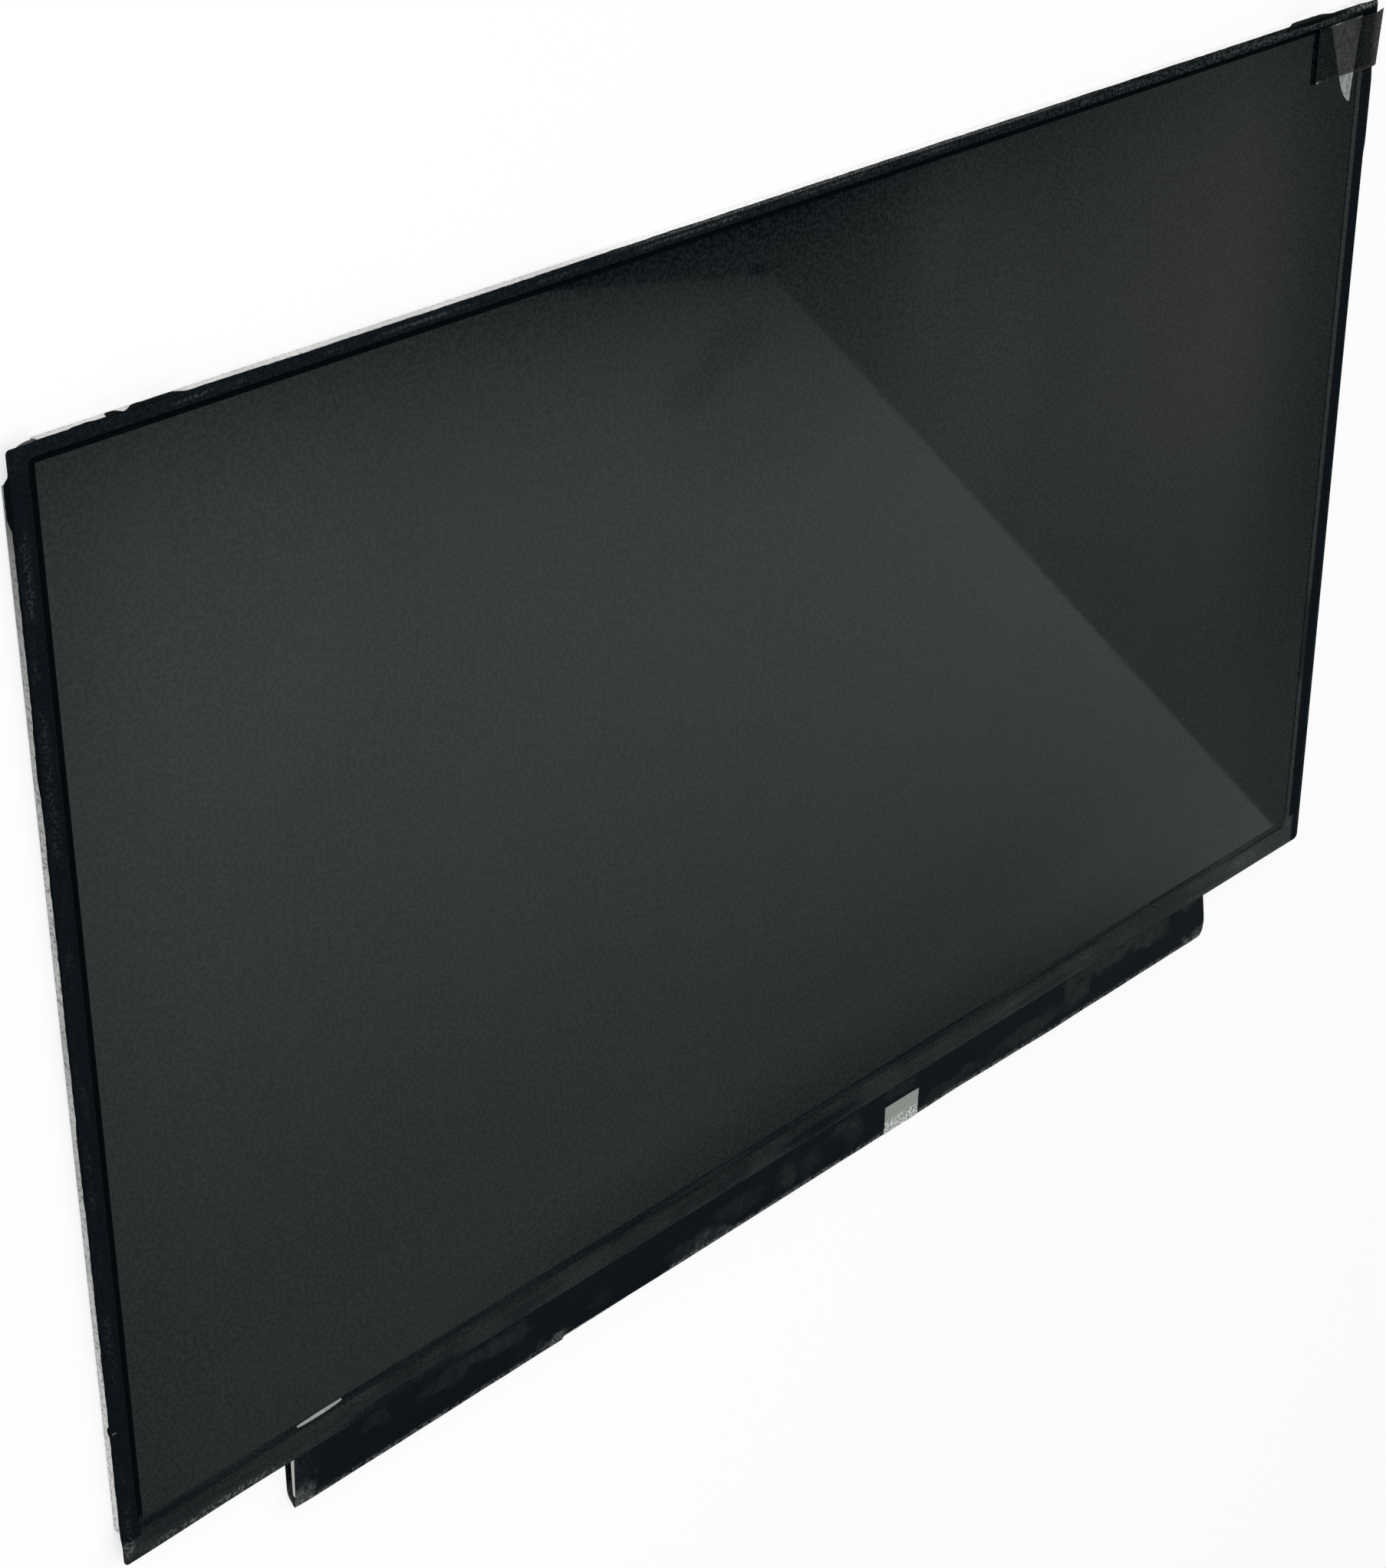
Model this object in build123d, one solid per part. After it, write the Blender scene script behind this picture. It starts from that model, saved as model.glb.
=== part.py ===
"""Slim liquid crystal screen panel for a laptop lid, lying on its back with the screen up.

X runs along the screen's width, Y up the screen, Z out of the screen. The origin is the centre of the
back cover's raised rear face. Millimetres.
"""
import math
import os
from dataclasses import dataclass

from build123d import *

# Screen field and the border round it
field_width = 344.2
field_height = 193.6
border_side = 4.7
border_top = 3.0
border_bottom = 6.2
body_corner_radius = 0.6

# Border tape: its top stands above the screen, and its inner edge leans in from the lip to the foot
lip_side = 1.3
lip_top = 1.0
lip_bottom = 2.1
lip_lean = 0.6
lip_height = 0.86
lip_corner_radius = 1.0
tape_sheet = 0.12
skirt_depth = 0.8

# Flap below the body that holds the driver board
flap_left_inset = 37.6
flap_right_inset = 36.6
flap_drop = 11.5
flap_left_corner_radius = 0.4
flap_right_corner_radius = 2.2
flap_flare = 1.6
flap_flare_rise = 4.0
flap_step = 0.1
fold_radius = 0.5
hull_radius = 3.5
fold_return = 1.0
rear_lap = 4.0

# Back cover
cover_sheet = 0.25
bend_inside_radius = 0.25
wall_relief = 6.0
corner_notch = 2.6
bottom_wall_rise = 0.55
plateau_rise = 0.2
plateau_margin = 14.0
plateau_slope = 0.8
plateau_corner_radius = 8.0

# Mould frame
frame_lip = 0.35
frame_corner_radius = 5.0
ledge_thickness = 0.24
window_margin = 0.3
lug_length = 8.0
lug_depth = 0.25
side_lugs = 3
top_lugs = 5

# Backlight sheets and lamps
reflector_sheet = 0.12
guide_sheet = 0.42
diffuser_sheet = 0.07
prism_sheet = 0.07
strip_sheet = 0.1
lamp_count = 36
lamp_length = 3.0
lamp_depth = 0.9
lamp_face_depth = 0.2
lamp_face_wall = 0.1
tail_width = 9.0
tail_from_end = 61.0

# Cell
glass_sheet = 0.25
driver_ledge = 1.7
rim_tape_sheet = 0.06
polarizer_sheet = 0.12
polarizer_inset = 0.25
film_sheet = 0.06
film_inset = 0.15
film_corner_radius = 0.4

# Source films and their chips
source_films = 4
source_film_width = 34.0
source_film_sheet = 0.06
bond_length = 1.2
film_bend = 1.2
driver_chip_length = 22.0
driver_chip_depth = 0.9
driver_chip_height = 0.28

# Control board and what it carries
board_sheet = 0.8
board_end_inset = 0.5
board_bottom_inset = 1.2
board_corner_radius = 1.0
end_pad_length = 10.0
end_pad_sheet = 0.4
tallest_part = 0.85
part_row = 3.3
timing_chip = (6.0, 5.0, 0.65)
timing_chip_from_end = 82.0
power_chip = (4.0, 4.0, 0.6)
power_chip_from_end = 104.0
backlight_chip = (4.0, 3.5, 0.6)
backlight_chip_from_end = 91.0
chip_chamfer = 0.12
coil_size = 3.8
coil_height = 0.8
coil_neck = 0.3
coil_flange = 0.22
coil_corner = 0.95
power_coils_from_end = (114.0, 122.0)
backlight_coil_from_end = 81.0
capacitor = (1.6, 0.8, 0.6)
capacitor_cap = 0.3
capacitor_swell = 0.04
capacitor_pitch = 2.4
capacitor_counts = (3, 5)
capacitors_from_end = (92.0, 130.0)
backlight_capacitor_counts = (5, 6)
backlight_capacitors_from_end = (40.0, 22.0)

# Data connector, with its mouth towards the flap's edge
connector_from_end = 45.0
contact_count = 30
contact_pitch = 0.5
contact_width = 0.2
contact_sheet = 0.08
contact_tail = 0.6
contact_set_in = 0.6
connector_depth = 4.0
connector_end = 2.6
connector_set_back = 1.1
socket_depth = 2.5
socket_height = 0.33
socket_end = 0.5
shell_sheet = 0.1
shell_depth = 3.4
bay_side = 3.0

# Connector of the light strip's tail
tail_connector_end = 1.2
tail_connector_depth = 3.2
tail_connector_height = 0.75
tail_slot_depth = 1.6
latch_depth = 0.9
latch_height = 0.2

# Sticker on the flap and the pull tape at the top right corner
sticker_from_end = 116.5
sticker_width = 10.9
sticker_rise = 7.5
sticker_wrap = 1.8
sticker_sheet = 0.08
pull_reach = 17.0
pull_overhang = 2.4
pull_height = 11.7
pull_top_gap = 0.3
pull_sheet = 0.08
pull_ramp = 1.5
tongue_root_width = 11.8
tongue_tip_width = 3.0
tongue_length = 17.9
tongue_set_in = 11.6
tongue_lean = 2.6
tongue_sheet = 0.06

# Clearances
wall_clearance = 0.05
seat_clearance = 0.05
rim_clearance = 0.1
glass_clearance = 0.2
guide_clearance = 0.15
sheet_clearance = 0.03
lamp_clearance = 0.05
board_clearance = 0.35
part_clearance = 0.1
slot_clearance = 0.06

# Turns in degrees
quarter_turn = 90
half_turn = 180
three_quarter_turn = 270
full_turn = 360


@dataclass(frozen=True)
class Area:
    """A rectangle in plan, given by its four edges."""

    left: float
    right: float
    bottom: float
    top: float

    def grown(self, side, top=None, bottom=None):
        """The same rectangle with its edges moved out; top and bottom follow side unless they are given."""
        up = side if top is None else top
        down = side if bottom is None else bottom
        return Area(self.left - side, self.right + side, self.bottom - down, self.top + up)

    def face(self, radius=0.0):
        """The rectangle as a face, with round corners if a radius is given."""
        width = self.right - self.left
        height = self.top - self.bottom
        middle = Pos((self.left + self.right) / 2, (self.bottom + self.top) / 2)
        if radius > 0:
            return middle * RectangleRounded(width, height, radius)
        return middle * Rectangle(width, height)

    def slab(self, low, high, radius=0.0):
        """The rectangle as a plate between two heights."""
        return extrude(Pos(0, 0, low) * self.face(radius), high - low)


def ramp(low_area, low_radius, low, high_area, high_radius, high):
    """A solid with straight sloping sides between two rounded rectangles."""
    low_face = Pos(0, 0, low) * low_area.face(low_radius)
    high_face = Pos(0, 0, high) * high_area.face(high_radius)
    return loft([low_face, high_face], ruled=True)


def block(x, y, low, length, depth, height):
    """A box given by its middle in plan, its underside and its size."""
    return Pos(x, y, low + height / 2) * Box(length, depth, height)


def along_x(section, left, right):
    """A section drawn in Y and Z, drawn out along X."""
    return extrude(Plane.YZ.offset(left) * section, right - left)


# Heights, from the back up
flange_rear = plateau_rise
floor = flange_rear + cover_sheet
reflector_top = floor + reflector_sheet
guide_top = reflector_top + guide_sheet
diffuser_top = guide_top + diffuser_sheet
lower_prism_top = diffuser_top + prism_sheet
upper_prism_top = lower_prism_top + prism_sheet
ledge_low = upper_prism_top + sheet_clearance
ledge_top = ledge_low + ledge_thickness
cell_low = ledge_top + rim_tape_sheet
array_top = cell_low + glass_sheet
filter_top = array_top + glass_sheet
screen_top = filter_top + polarizer_sheet
film_top = screen_top + film_sheet
body_top = screen_top + lip_height
rim_top = body_top - tape_sheet
frame_lip_low = rim_top - frame_lip
wall_top = frame_lip_low - seat_clearance
board_rear = flange_rear + tallest_part + part_clearance
board_front = board_rear + board_sheet
deck_top = body_top - flap_step

# Plan areas, from the body in
body_width = field_width + 2 * border_side
body_height = field_height + border_top + border_bottom
body = Area(-body_width / 2, body_width / 2, -body_height / 2, body_height / 2)
field = body.grown(-border_side, -border_top, -border_bottom)
cover_area = body.grown(-tape_sheet)
frame_area = cover_area.grown(-(cover_sheet + wall_clearance))
lip = field.grown(lip_side, lip_top, lip_bottom)
foot = lip.grown(-lip_lean)
filter_area = lip.grown(rim_clearance - glass_clearance)
array_area = filter_area.grown(0, 0, driver_ledge)
polarizer_area = filter_area.grown(-polarizer_inset)
pocket = array_area.grown(glass_clearance)
window = field.grown(window_margin)
guide_area = pocket.grown(-guide_clearance, -guide_clearance, -(glass_clearance + driver_ledge))
flap = Area(body.left + flap_left_inset, body.right - flap_right_inset,
            body.bottom - flap_drop, body.bottom)
board = Area(flap.left + board_end_inset, flap.right - flap_flare - board_end_inset,
             flap.bottom + board_bottom_inset, flap.top - board_clearance)
connector_x = board.left + connector_from_end
tail_x = board.right - tail_from_end
film_pitch = (flap.right - flap.left) / source_films
film_places = [flap.left + film_pitch * (i + 0.5) for i in range(source_films)]
lug_reach = cover_sheet + wall_clearance


def lug_places(low, high, count):
    """Middles of evenly spread lugs between two ends."""
    pitch = (high - low) / count
    return [low + pitch * (i + 0.5) for i in range(count)]


side_lug_places = lug_places(body.bottom + wall_relief, body.top - wall_relief, side_lugs)
top_lug_places = lug_places(body.left + wall_relief, body.right - wall_relief, top_lugs)


def lugs(extra):
    """The frame's lugs under its lip, grown by a clearance to give the notches in the cover's walls."""
    depth = lug_depth + 2 * extra
    length = lug_length + 2 * extra
    reach = lug_reach + extra
    low = frame_lip_low - depth
    middle_x = frame_area.right + reach / 2
    middle_y = frame_area.top + reach / 2
    pieces = [block(x, middle_y, low, length, reach, depth) for x in top_lug_places]
    for y in side_lug_places:
        pieces.append(block(middle_x, y, low, reach, length, depth))
        pieces.append(block(-middle_x, y, low, reach, length, depth))
    return pieces


def wall_section(rise):
    """Section of a folded wall, lying on its side: the bend's end at the origin, the wall outwards and up."""
    outside = bend_inside_radius + cover_sheet
    edges = [
        CenterArc((0, outside), outside, three_quarter_turn, quarter_turn),
        Line((outside, outside), (outside, rise)),
        Line((outside, rise), (bend_inside_radius, rise)),
        Line((bend_inside_radius, rise), (bend_inside_radius, outside)),
        CenterArc((0, outside), bend_inside_radius, three_quarter_turn, quarter_turn),
        Line((0, cover_sheet), (0, 0)),
    ]
    return make_face(edges)


def wall(turn, reach, low, high, rise):
    """A folded wall on the side that lies at a turn from +X, from low to high along that side."""
    bend_start = reach - bend_inside_radius - cover_sheet
    upright = Plane((bend_start, low, flange_rear), x_dir=(1, 0, 0), z_dir=(0, -1, 0))
    return Rot(0, 0, turn) * extrude(upright * wall_section(rise), -(high - low))


def tail_gap(low, high):
    """The way out of the body for the light strip's tail."""
    gap_width = tail_width + 2 * slot_clearance
    reach = Area(tail_x - gap_width / 2, tail_x + gap_width / 2, body.bottom - seat_clearance, pocket.bottom)
    return reach.slab(low, high)


def corner_notches(high):
    """Blocks that cut the four corners free from the back up to a height."""
    notches = []
    for left in (body.left, body.right - corner_notch):
        for bottom in (body.bottom, body.top - wall_relief):
            corner = Area(left, left + corner_notch, bottom, bottom + wall_relief)
            notches.append(corner.slab(0, high))
    return notches


def make_back_cover():
    """Folded tray: a flange with a raised rear field, and four walls that stop short of the cut corners."""
    outside = bend_inside_radius + cover_sheet
    plate_area = cover_area.grown(-outside)
    plate = plate_area.slab(flange_rear, floor, frame_corner_radius) - corner_notches(floor)
    outer_low = plate_area.grown(-plateau_margin)
    outer_high = outer_low.grown(plateau_slope)
    inner_low = outer_low.grown(-cover_sheet)
    inner_high = outer_high.grown(-cover_sheet)
    radius = plateau_corner_radius
    plate += ramp(outer_low, radius, 0, outer_high, radius + plateau_slope, flange_rear)
    plate -= ramp(inner_low, radius, cover_sheet, inner_high, radius + plateau_slope, floor)
    rise = wall_top - flange_rear
    side = (body.bottom + wall_relief, body.top - wall_relief)
    across = (body.left + wall_relief, body.right - wall_relief)
    plate += wall(0, cover_area.right, *side, rise)
    plate += wall(half_turn, cover_area.right, *side, rise)
    plate += wall(quarter_turn, cover_area.top, *across, rise)
    bottom_rise = floor + bottom_wall_rise - flange_rear
    plate += wall(three_quarter_turn, cover_area.top, *across, bottom_rise)
    plate -= lugs(seat_clearance)
    tail_top = floor + bottom_wall_rise + seat_clearance
    return plate - tail_gap(floor, tail_top)


def make_mould_frame():
    """Rim round the glass with a ledge, a lip over the cover's walls, lugs under that lip and cut corners."""
    bend = bend_inside_radius
    seat = frame_area.grown(-bend)
    frame = ramp(seat, frame_corner_radius - bend, floor, frame_area, frame_corner_radius, floor + bend)
    frame += frame_area.slab(floor + bend, frame_lip_low, frame_corner_radius)
    frame -= corner_notches(frame_lip_low)
    frame += cover_area.slab(frame_lip_low, rim_top, body_corner_radius)
    frame += lugs(0)
    frame -= pocket.slab(floor, rim_top)
    frame += pocket.slab(ledge_low, ledge_top) - window.slab(ledge_low, ledge_top)
    for x in film_places:
        half = source_film_width / 2 + slot_clearance
        channel = Area(x - half, x + half, body.bottom, pocket.bottom)
        frame -= channel.slab(array_top - seat_clearance, rim_top)
    return frame - tail_gap(floor, floor + strip_sheet + slot_clearance)


def make_border_tape():
    """Ring on the frame's rim, with a skirt down three sides and an inner edge that slopes to the screen."""
    inner_skirt = body.grown(-tape_sheet)
    ring = body.slab(rim_top, body_top, body_corner_radius + tape_sheet)
    skirt_low = body_top - skirt_depth
    skirt = body.slab(skirt_low, rim_top, body_corner_radius + tape_sheet)
    skirt -= inner_skirt.slab(skirt_low, rim_top, body_corner_radius)
    skirt -= Area(body.left, body.right, body.bottom, frame_area.bottom).slab(skirt_low, rim_top)
    foot_radius = lip_corner_radius - lip_lean
    opening = ramp(foot, foot_radius, screen_top, lip, lip_corner_radius, body_top)
    outer_foot = foot.grown(tape_sheet)
    outer_lip = lip.grown(tape_sheet)
    outer_radius = lip_corner_radius + tape_sheet
    slope = ramp(outer_foot, outer_radius - lip_lean, screen_top, outer_lip, outer_radius, body_top)
    return ring + skirt + slope - opening


def hull_centre(deck, rear):
    """Middles of the fold and of the hull's curve, which touches the fold and the flat rear."""
    fold = (flap.bottom + fold_radius, deck - fold_radius)
    height = rear + hull_radius
    run = math.sqrt((hull_radius - fold_radius) ** 2 - (height - fold[1]) ** 2)
    return fold, (fold[0] + run, height)


fold_middle, hull_middle = hull_centre(deck_top, flange_rear - tape_sheet)
hull_slope = math.atan2(fold_middle[1] - hull_middle[1], fold_middle[0] - hull_middle[0])
hull_turn = math.degrees(hull_slope) % full_turn


def wrap_edges(out, front_y, rear_turn):
    """Deck line, fold and hull curve at a distance outside the board cover, and the two end points."""
    deck = deck_top + out
    fold = fold_radius + out
    hull = hull_radius + out
    turn = math.radians(rear_turn)
    start = (front_y, deck)
    end = (hull_middle[0] + hull * math.cos(turn), hull_middle[1] + hull * math.sin(turn))
    edges = [
        Line(start, (fold_middle[0], deck)),
        CenterArc(fold_middle, fold, quarter_turn, hull_turn - quarter_turn),
        CenterArc(hull_middle, hull, hull_turn, rear_turn - hull_turn),
    ]
    return edges, start, end


def wrap_section(inner, outer, front_y, rear_turn):
    """Closed section of a sheet that follows the deck, the fold and the hull."""
    inner_edges, inner_start, inner_end = wrap_edges(inner, front_y, rear_turn)
    outer_edges, outer_start, outer_end = wrap_edges(outer, front_y, rear_turn)
    caps = [Line(inner_start, outer_start), Line(inner_end, outer_end)]
    return make_face(inner_edges + outer_edges + caps)


def connector_area():
    """Plan of the data connector's housing on the board."""
    half = contact_pitch * (contact_count - 1) / 2 + connector_end
    top = board.top - connector_set_back
    return Area(connector_x - half, connector_x + half, top - connector_depth, top)


def hull_angle(rise):
    """Turn about the hull's middle of the point on the hull that lies so far above the flap's edge."""
    return full_turn - math.degrees(math.acos((flap.bottom + rise - hull_middle[0]) / hull_radius))


def flap_outline():
    """Plan of the flap and its lap on the back as a tall block: flared right end, round lower corners."""
    lap = flap.top + rear_lap
    neck = flap.right - flap_flare
    points = [
        (flap.left, flap.bottom),
        (flap.right, flap.bottom),
        (flap.right, flap.bottom + flap_flare_rise),
        (neck, flap.top),
        (neck, lap),
        (flap.left, lap),
    ]
    outline = extrude(make_face(Polyline(*points, close=True)), body_top)
    for end, radius in ((0, flap_left_corner_radius), (-1, flap_right_corner_radius)):
        lower_corners = outline.edges().filter_by(Axis.Z).group_by(Axis.Y)[0]
        outline = fillet(lower_corners.sort_by(Axis.X)[end], radius)
    return outline


def make_board_cover():
    """Sheet over the front of the board, folded round the flap's edge with a short return behind."""
    section = wrap_section(-tape_sheet, 0, flap.top, hull_angle(fold_return))
    return along_x(section, flap.left, flap.right) & flap_outline()


def make_rear_sheet(left, right):
    """Curved sheet behind the board, from the fold's return to a lap on the back cover, open at its ends."""
    start = hull_angle(fold_return)
    outer, outer_start, outer_end = hull_arc(hull_radius, start)
    inner, inner_start, inner_end = hull_arc(hull_radius - tape_sheet, start)
    section = make_face([outer, inner, Line(outer_start, inner_start), Line(outer_end, inner_end)])
    flat = Area(left, right, hull_middle[0], flap.top + rear_lap)
    sheet = along_x(section, left, right) + flat.slab(flange_rear - tape_sheet, flange_rear)
    return sheet & flap_outline()


def hull_arc(radius, start):
    """The hull's curve from a turn down to the flat rear, with its two end points."""
    turn = math.radians(start)
    first = (hull_middle[0] + radius * math.cos(turn), hull_middle[1] + radius * math.sin(turn))
    last = (hull_middle[0], hull_middle[1] - radius)
    return CenterArc(hull_middle, radius, start, three_quarter_turn - start), first, last


def make_sticker():
    """Small sticker on the flap, folded round its edge."""
    section = wrap_section(0, sticker_sheet, flap.bottom + sticker_rise, hull_angle(sticker_wrap))
    left = flap.right - sticker_from_end
    return along_x(section, left, left + sticker_width)


def stepped_sheet(left, right, start, start_z, end, end_z, low, sheet):
    """A flexible print that runs down the panel and steps smoothly to another height just above low."""
    high = low + film_bend
    middle = (low + high) / 2

    def run(rise):
        first = start_z + rise
        last = end_z + rise
        curve = Bezier((high, first), (middle, first), (middle, last), (low, last))
        return [Line((start, first), (high, first)), curve, Line((low, last), (end, last))]

    ends = [Line((start, start_z), (start, start_z + sheet)), Line((end, end_z), (end, end_z + sheet))]
    return along_x(make_face(run(0) + run(sheet) + ends), left, right)


def make_source_film(x):
    """Film from the glass ledge to the front of the board."""
    start = filter_area.bottom - glass_clearance
    end = board.top - bond_length
    half = source_film_width / 2
    low = board.top + seat_clearance
    return stepped_sheet(x - half, x + half, start, array_top, end, board_front, low, source_film_sheet)


def make_driver_chip(x):
    """Long narrow chip on its source film."""
    y = pocket.bottom - driver_chip_depth / 2
    low = array_top + source_film_sheet
    return block(x, y, low, driver_chip_length, driver_chip_depth, driver_chip_height)


def lamp_row():
    """Places of the lamps along the light guide's lower edge."""
    pitch = (guide_area.right - guide_area.left) / lamp_count
    return [guide_area.left + pitch * (i + 0.5) for i in range(lamp_count)]


lamp_front = guide_area.bottom - lamp_clearance
tail_z = board_rear - tail_connector_height / 2
tail_connector_top = board.top - part_row + tail_connector_depth / 2


def make_light_strip():
    """Flexible print under the lamps, with a tail out to the board."""
    strip = Area(guide_area.left, guide_area.right, pocket.bottom + glass_clearance, lamp_front)
    tail_end = tail_connector_top - tail_slot_depth + slot_clearance
    left = tail_x - tail_width / 2
    right = tail_x + tail_width / 2
    low = tail_connector_top + seat_clearance
    tail = stepped_sheet(left, right, strip.bottom, floor, tail_end, tail_z, low, strip_sheet)
    return strip.slab(floor, floor + strip_sheet) + tail


def make_lamps():
    """Side-firing lamps, each with a sunk face towards the light guide."""
    low = floor + strip_sheet
    middle = lamp_front - lamp_depth / 2
    face_length = lamp_length - 2 * lamp_face_wall
    face_height = guide_sheet - 2 * lamp_face_wall
    lamp = block(0, middle, low, lamp_length, lamp_depth, guide_sheet)
    face_middle = lamp_front - lamp_face_depth / 2
    lamp -= block(0, face_middle, low + lamp_face_wall, face_length, lamp_face_depth, face_height)
    return [Pos(x, 0, 0) * lamp for x in lamp_row()]


def hang(size, x):
    """A chip that hangs under the board in the row of parts, with its lower edges broken."""
    length, depth, height = size
    chip = block(x, board.top - part_row, board_rear - height, length, depth, height)
    return chamfer(chip.faces().sort_by(Axis.Z)[0].edges(), chip_chamfer)


def make_end_pad():
    """Foam pad on the front of the board's left end, which keeps the cover off it."""
    area = Area(board.left, board.left + end_pad_length, board.bottom, board.top)
    return area.slab(board_front, board_front + end_pad_sheet, board_corner_radius)


def make_coils():
    """Power coils: two square flanges on a round neck."""
    coils = []
    low = board_rear - coil_height
    places = [board.left + distance for distance in power_coils_from_end]
    places.append(board.right - backlight_coil_from_end)
    for x in places:
        flange = Area(-coil_size / 2, coil_size / 2, -coil_size / 2, coil_size / 2)
        coil = flange.slab(board_rear - coil_flange, board_rear, coil_corner)
        coil += flange.slab(low, low + coil_flange, coil_corner)
        coil += Pos(0, 0, low + coil_height / 2) * Cylinder(coil_size / 2 - coil_neck, coil_height)
        coils.append(Pos(x, board.top - part_row, 0) * coil)
    return coils


def make_capacitors():
    """Ceramic capacitors with metal end caps, in rows along the board."""
    length, depth, height = capacitor
    swell = capacitor_swell
    low = board_rear - height
    one = block(0, 0, low + swell, length, depth - 2 * swell, height - 2 * swell)
    for side in (-1, 1):
        one += block(side * (length - capacitor_cap) / 2, 0, low, capacitor_cap, depth, height)
    rows = [(board.left + start, count) for start, count in zip(capacitors_from_end, capacitor_counts)]
    for start, count in zip(backlight_capacitors_from_end, backlight_capacitor_counts):
        rows.append((board.right - start, count))
    places = [x + capacitor_pitch * i for x, count in rows for i in range(count)]
    return [Pos(x, board.top - part_row, 0) * one for x in places]


housing_low = board_rear - tallest_part + shell_sheet
socket_top = board_rear - (board_rear - housing_low - socket_height) / 2
contact_top = socket_top


def make_connector_housing():
    """Moulded housing with a wide socket, and a slit behind it for the contacts."""
    area = connector_area()
    housing = area.slab(housing_low, board_rear)
    side_wall = connector_end - socket_end - contact_width
    socket = Area(area.left + side_wall, area.right - side_wall, area.bottom, area.bottom + socket_depth)
    housing -= socket.slab(socket_top - socket_height, socket_top)
    slit = Area(socket.left, socket.right, socket.top, area.top)
    return housing - slit.slab(contact_top - contact_sheet, board_rear)


def make_connector_shell():
    """Stamped shell over the housing, folded up to the board at both ends."""
    area = connector_area()
    cover = Area(area.left - shell_sheet, area.right + shell_sheet, area.bottom, area.bottom + shell_depth)
    shell = cover.slab(housing_low - shell_sheet, board_rear)
    return shell - area.slab(housing_low, board_rear)


def make_contacts():
    """Contacts along the roof of the socket, each with a foot on the board behind the housing."""
    area = connector_area()
    blade_low = contact_top - contact_sheet
    heel = area.top + contact_sheet
    foot_low = board_rear - contact_sheet
    points = [
        (area.bottom + contact_set_in, contact_top),
        (area.top, contact_top),
        (area.top, board_rear),
        (heel + contact_tail, board_rear),
        (heel + contact_tail, foot_low),
        (heel, foot_low),
        (heel, blade_low),
        (area.bottom + contact_set_in, blade_low),
    ]
    section = make_face(Polyline(*points, close=True))
    contact = along_x(section, -contact_width / 2, contact_width / 2)
    first = connector_x - contact_pitch * (contact_count - 1) / 2
    return [Pos(first + contact_pitch * i, 0, 0) * contact for i in range(contact_count)]


def tail_connector_area():
    """Plan of the connector that takes the light strip's tail."""
    half = tail_width / 2 + tail_connector_end
    return Area(tail_x - half, tail_x + half, tail_connector_top - tail_connector_depth, tail_connector_top)


def make_tail_connector():
    """Housing with a slot for the tail and a seat for the latch."""
    area = tail_connector_area()
    low = board_rear - tail_connector_height
    housing = area.slab(low, board_rear)
    half = tail_width / 2 + slot_clearance
    slot = Area(tail_x - half, tail_x + half, area.top - tail_slot_depth, area.top)
    housing -= slot.slab(tail_z - slot_clearance, tail_z + strip_sheet + slot_clearance)
    return housing - latch_area(slot_clearance).slab(low, low + latch_height)


def latch_area(extra):
    """Plan of the latch, grown by a clearance to give its seat."""
    area = tail_connector_area()
    middle = (area.bottom + area.top) / 2
    half_width = tail_width / 2 + extra
    half_depth = latch_depth / 2 + extra
    return Area(tail_x - half_width, tail_x + half_width, middle - half_depth, middle + half_depth)


def make_tail_latch():
    """Latch bar pressed down on the tail connector."""
    low = board_rear - tail_connector_height
    return latch_area(0).slab(low, low + latch_height)


pull_area = Area(field.right - pull_reach, body.right + pull_overhang,
                 field.top + pull_top_gap - pull_height, field.top + pull_top_gap)


def make_pull_tape():
    """Clear tape on the screen film that climbs the border and hangs over the right edge."""
    low = film_top + tongue_sheet
    bend = foot.right - lip_lean / 2
    points = [(pull_area.left, low), (bend - pull_ramp, low), (bend, body_top), (pull_area.right, body_top)]
    upper = [(x, z + pull_sheet) for x, z in reversed(points)]
    section = make_face(Polyline(*points, *upper, close=True))
    upright = Plane((0, pull_area.top, 0), x_dir=(1, 0, 0), z_dir=(0, -1, 0))
    return extrude(upright * section, pull_height)


def make_pull_tongue():
    """Pale tapered tongue under the pull tape, round at its tip."""
    middle = field.right - tongue_set_in + tongue_root_width / 2
    top = pull_area.top
    half_root = tongue_root_width / 2
    half_tip = tongue_tip_width / 2
    shoulder = top - tongue_length + half_tip
    tip = middle + tongue_lean
    edges = [
        Line((middle - half_root, top), (middle + half_root, top)),
        Line((middle + half_root, top), (tip + half_tip, shoulder)),
        CenterArc((tip, shoulder), half_tip, half_turn, half_turn),
        Line((tip - half_tip, shoulder), (middle - half_root, top)),
    ]
    return extrude(Pos(0, 0, film_top) * make_face(edges), tongue_sheet)


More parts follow.
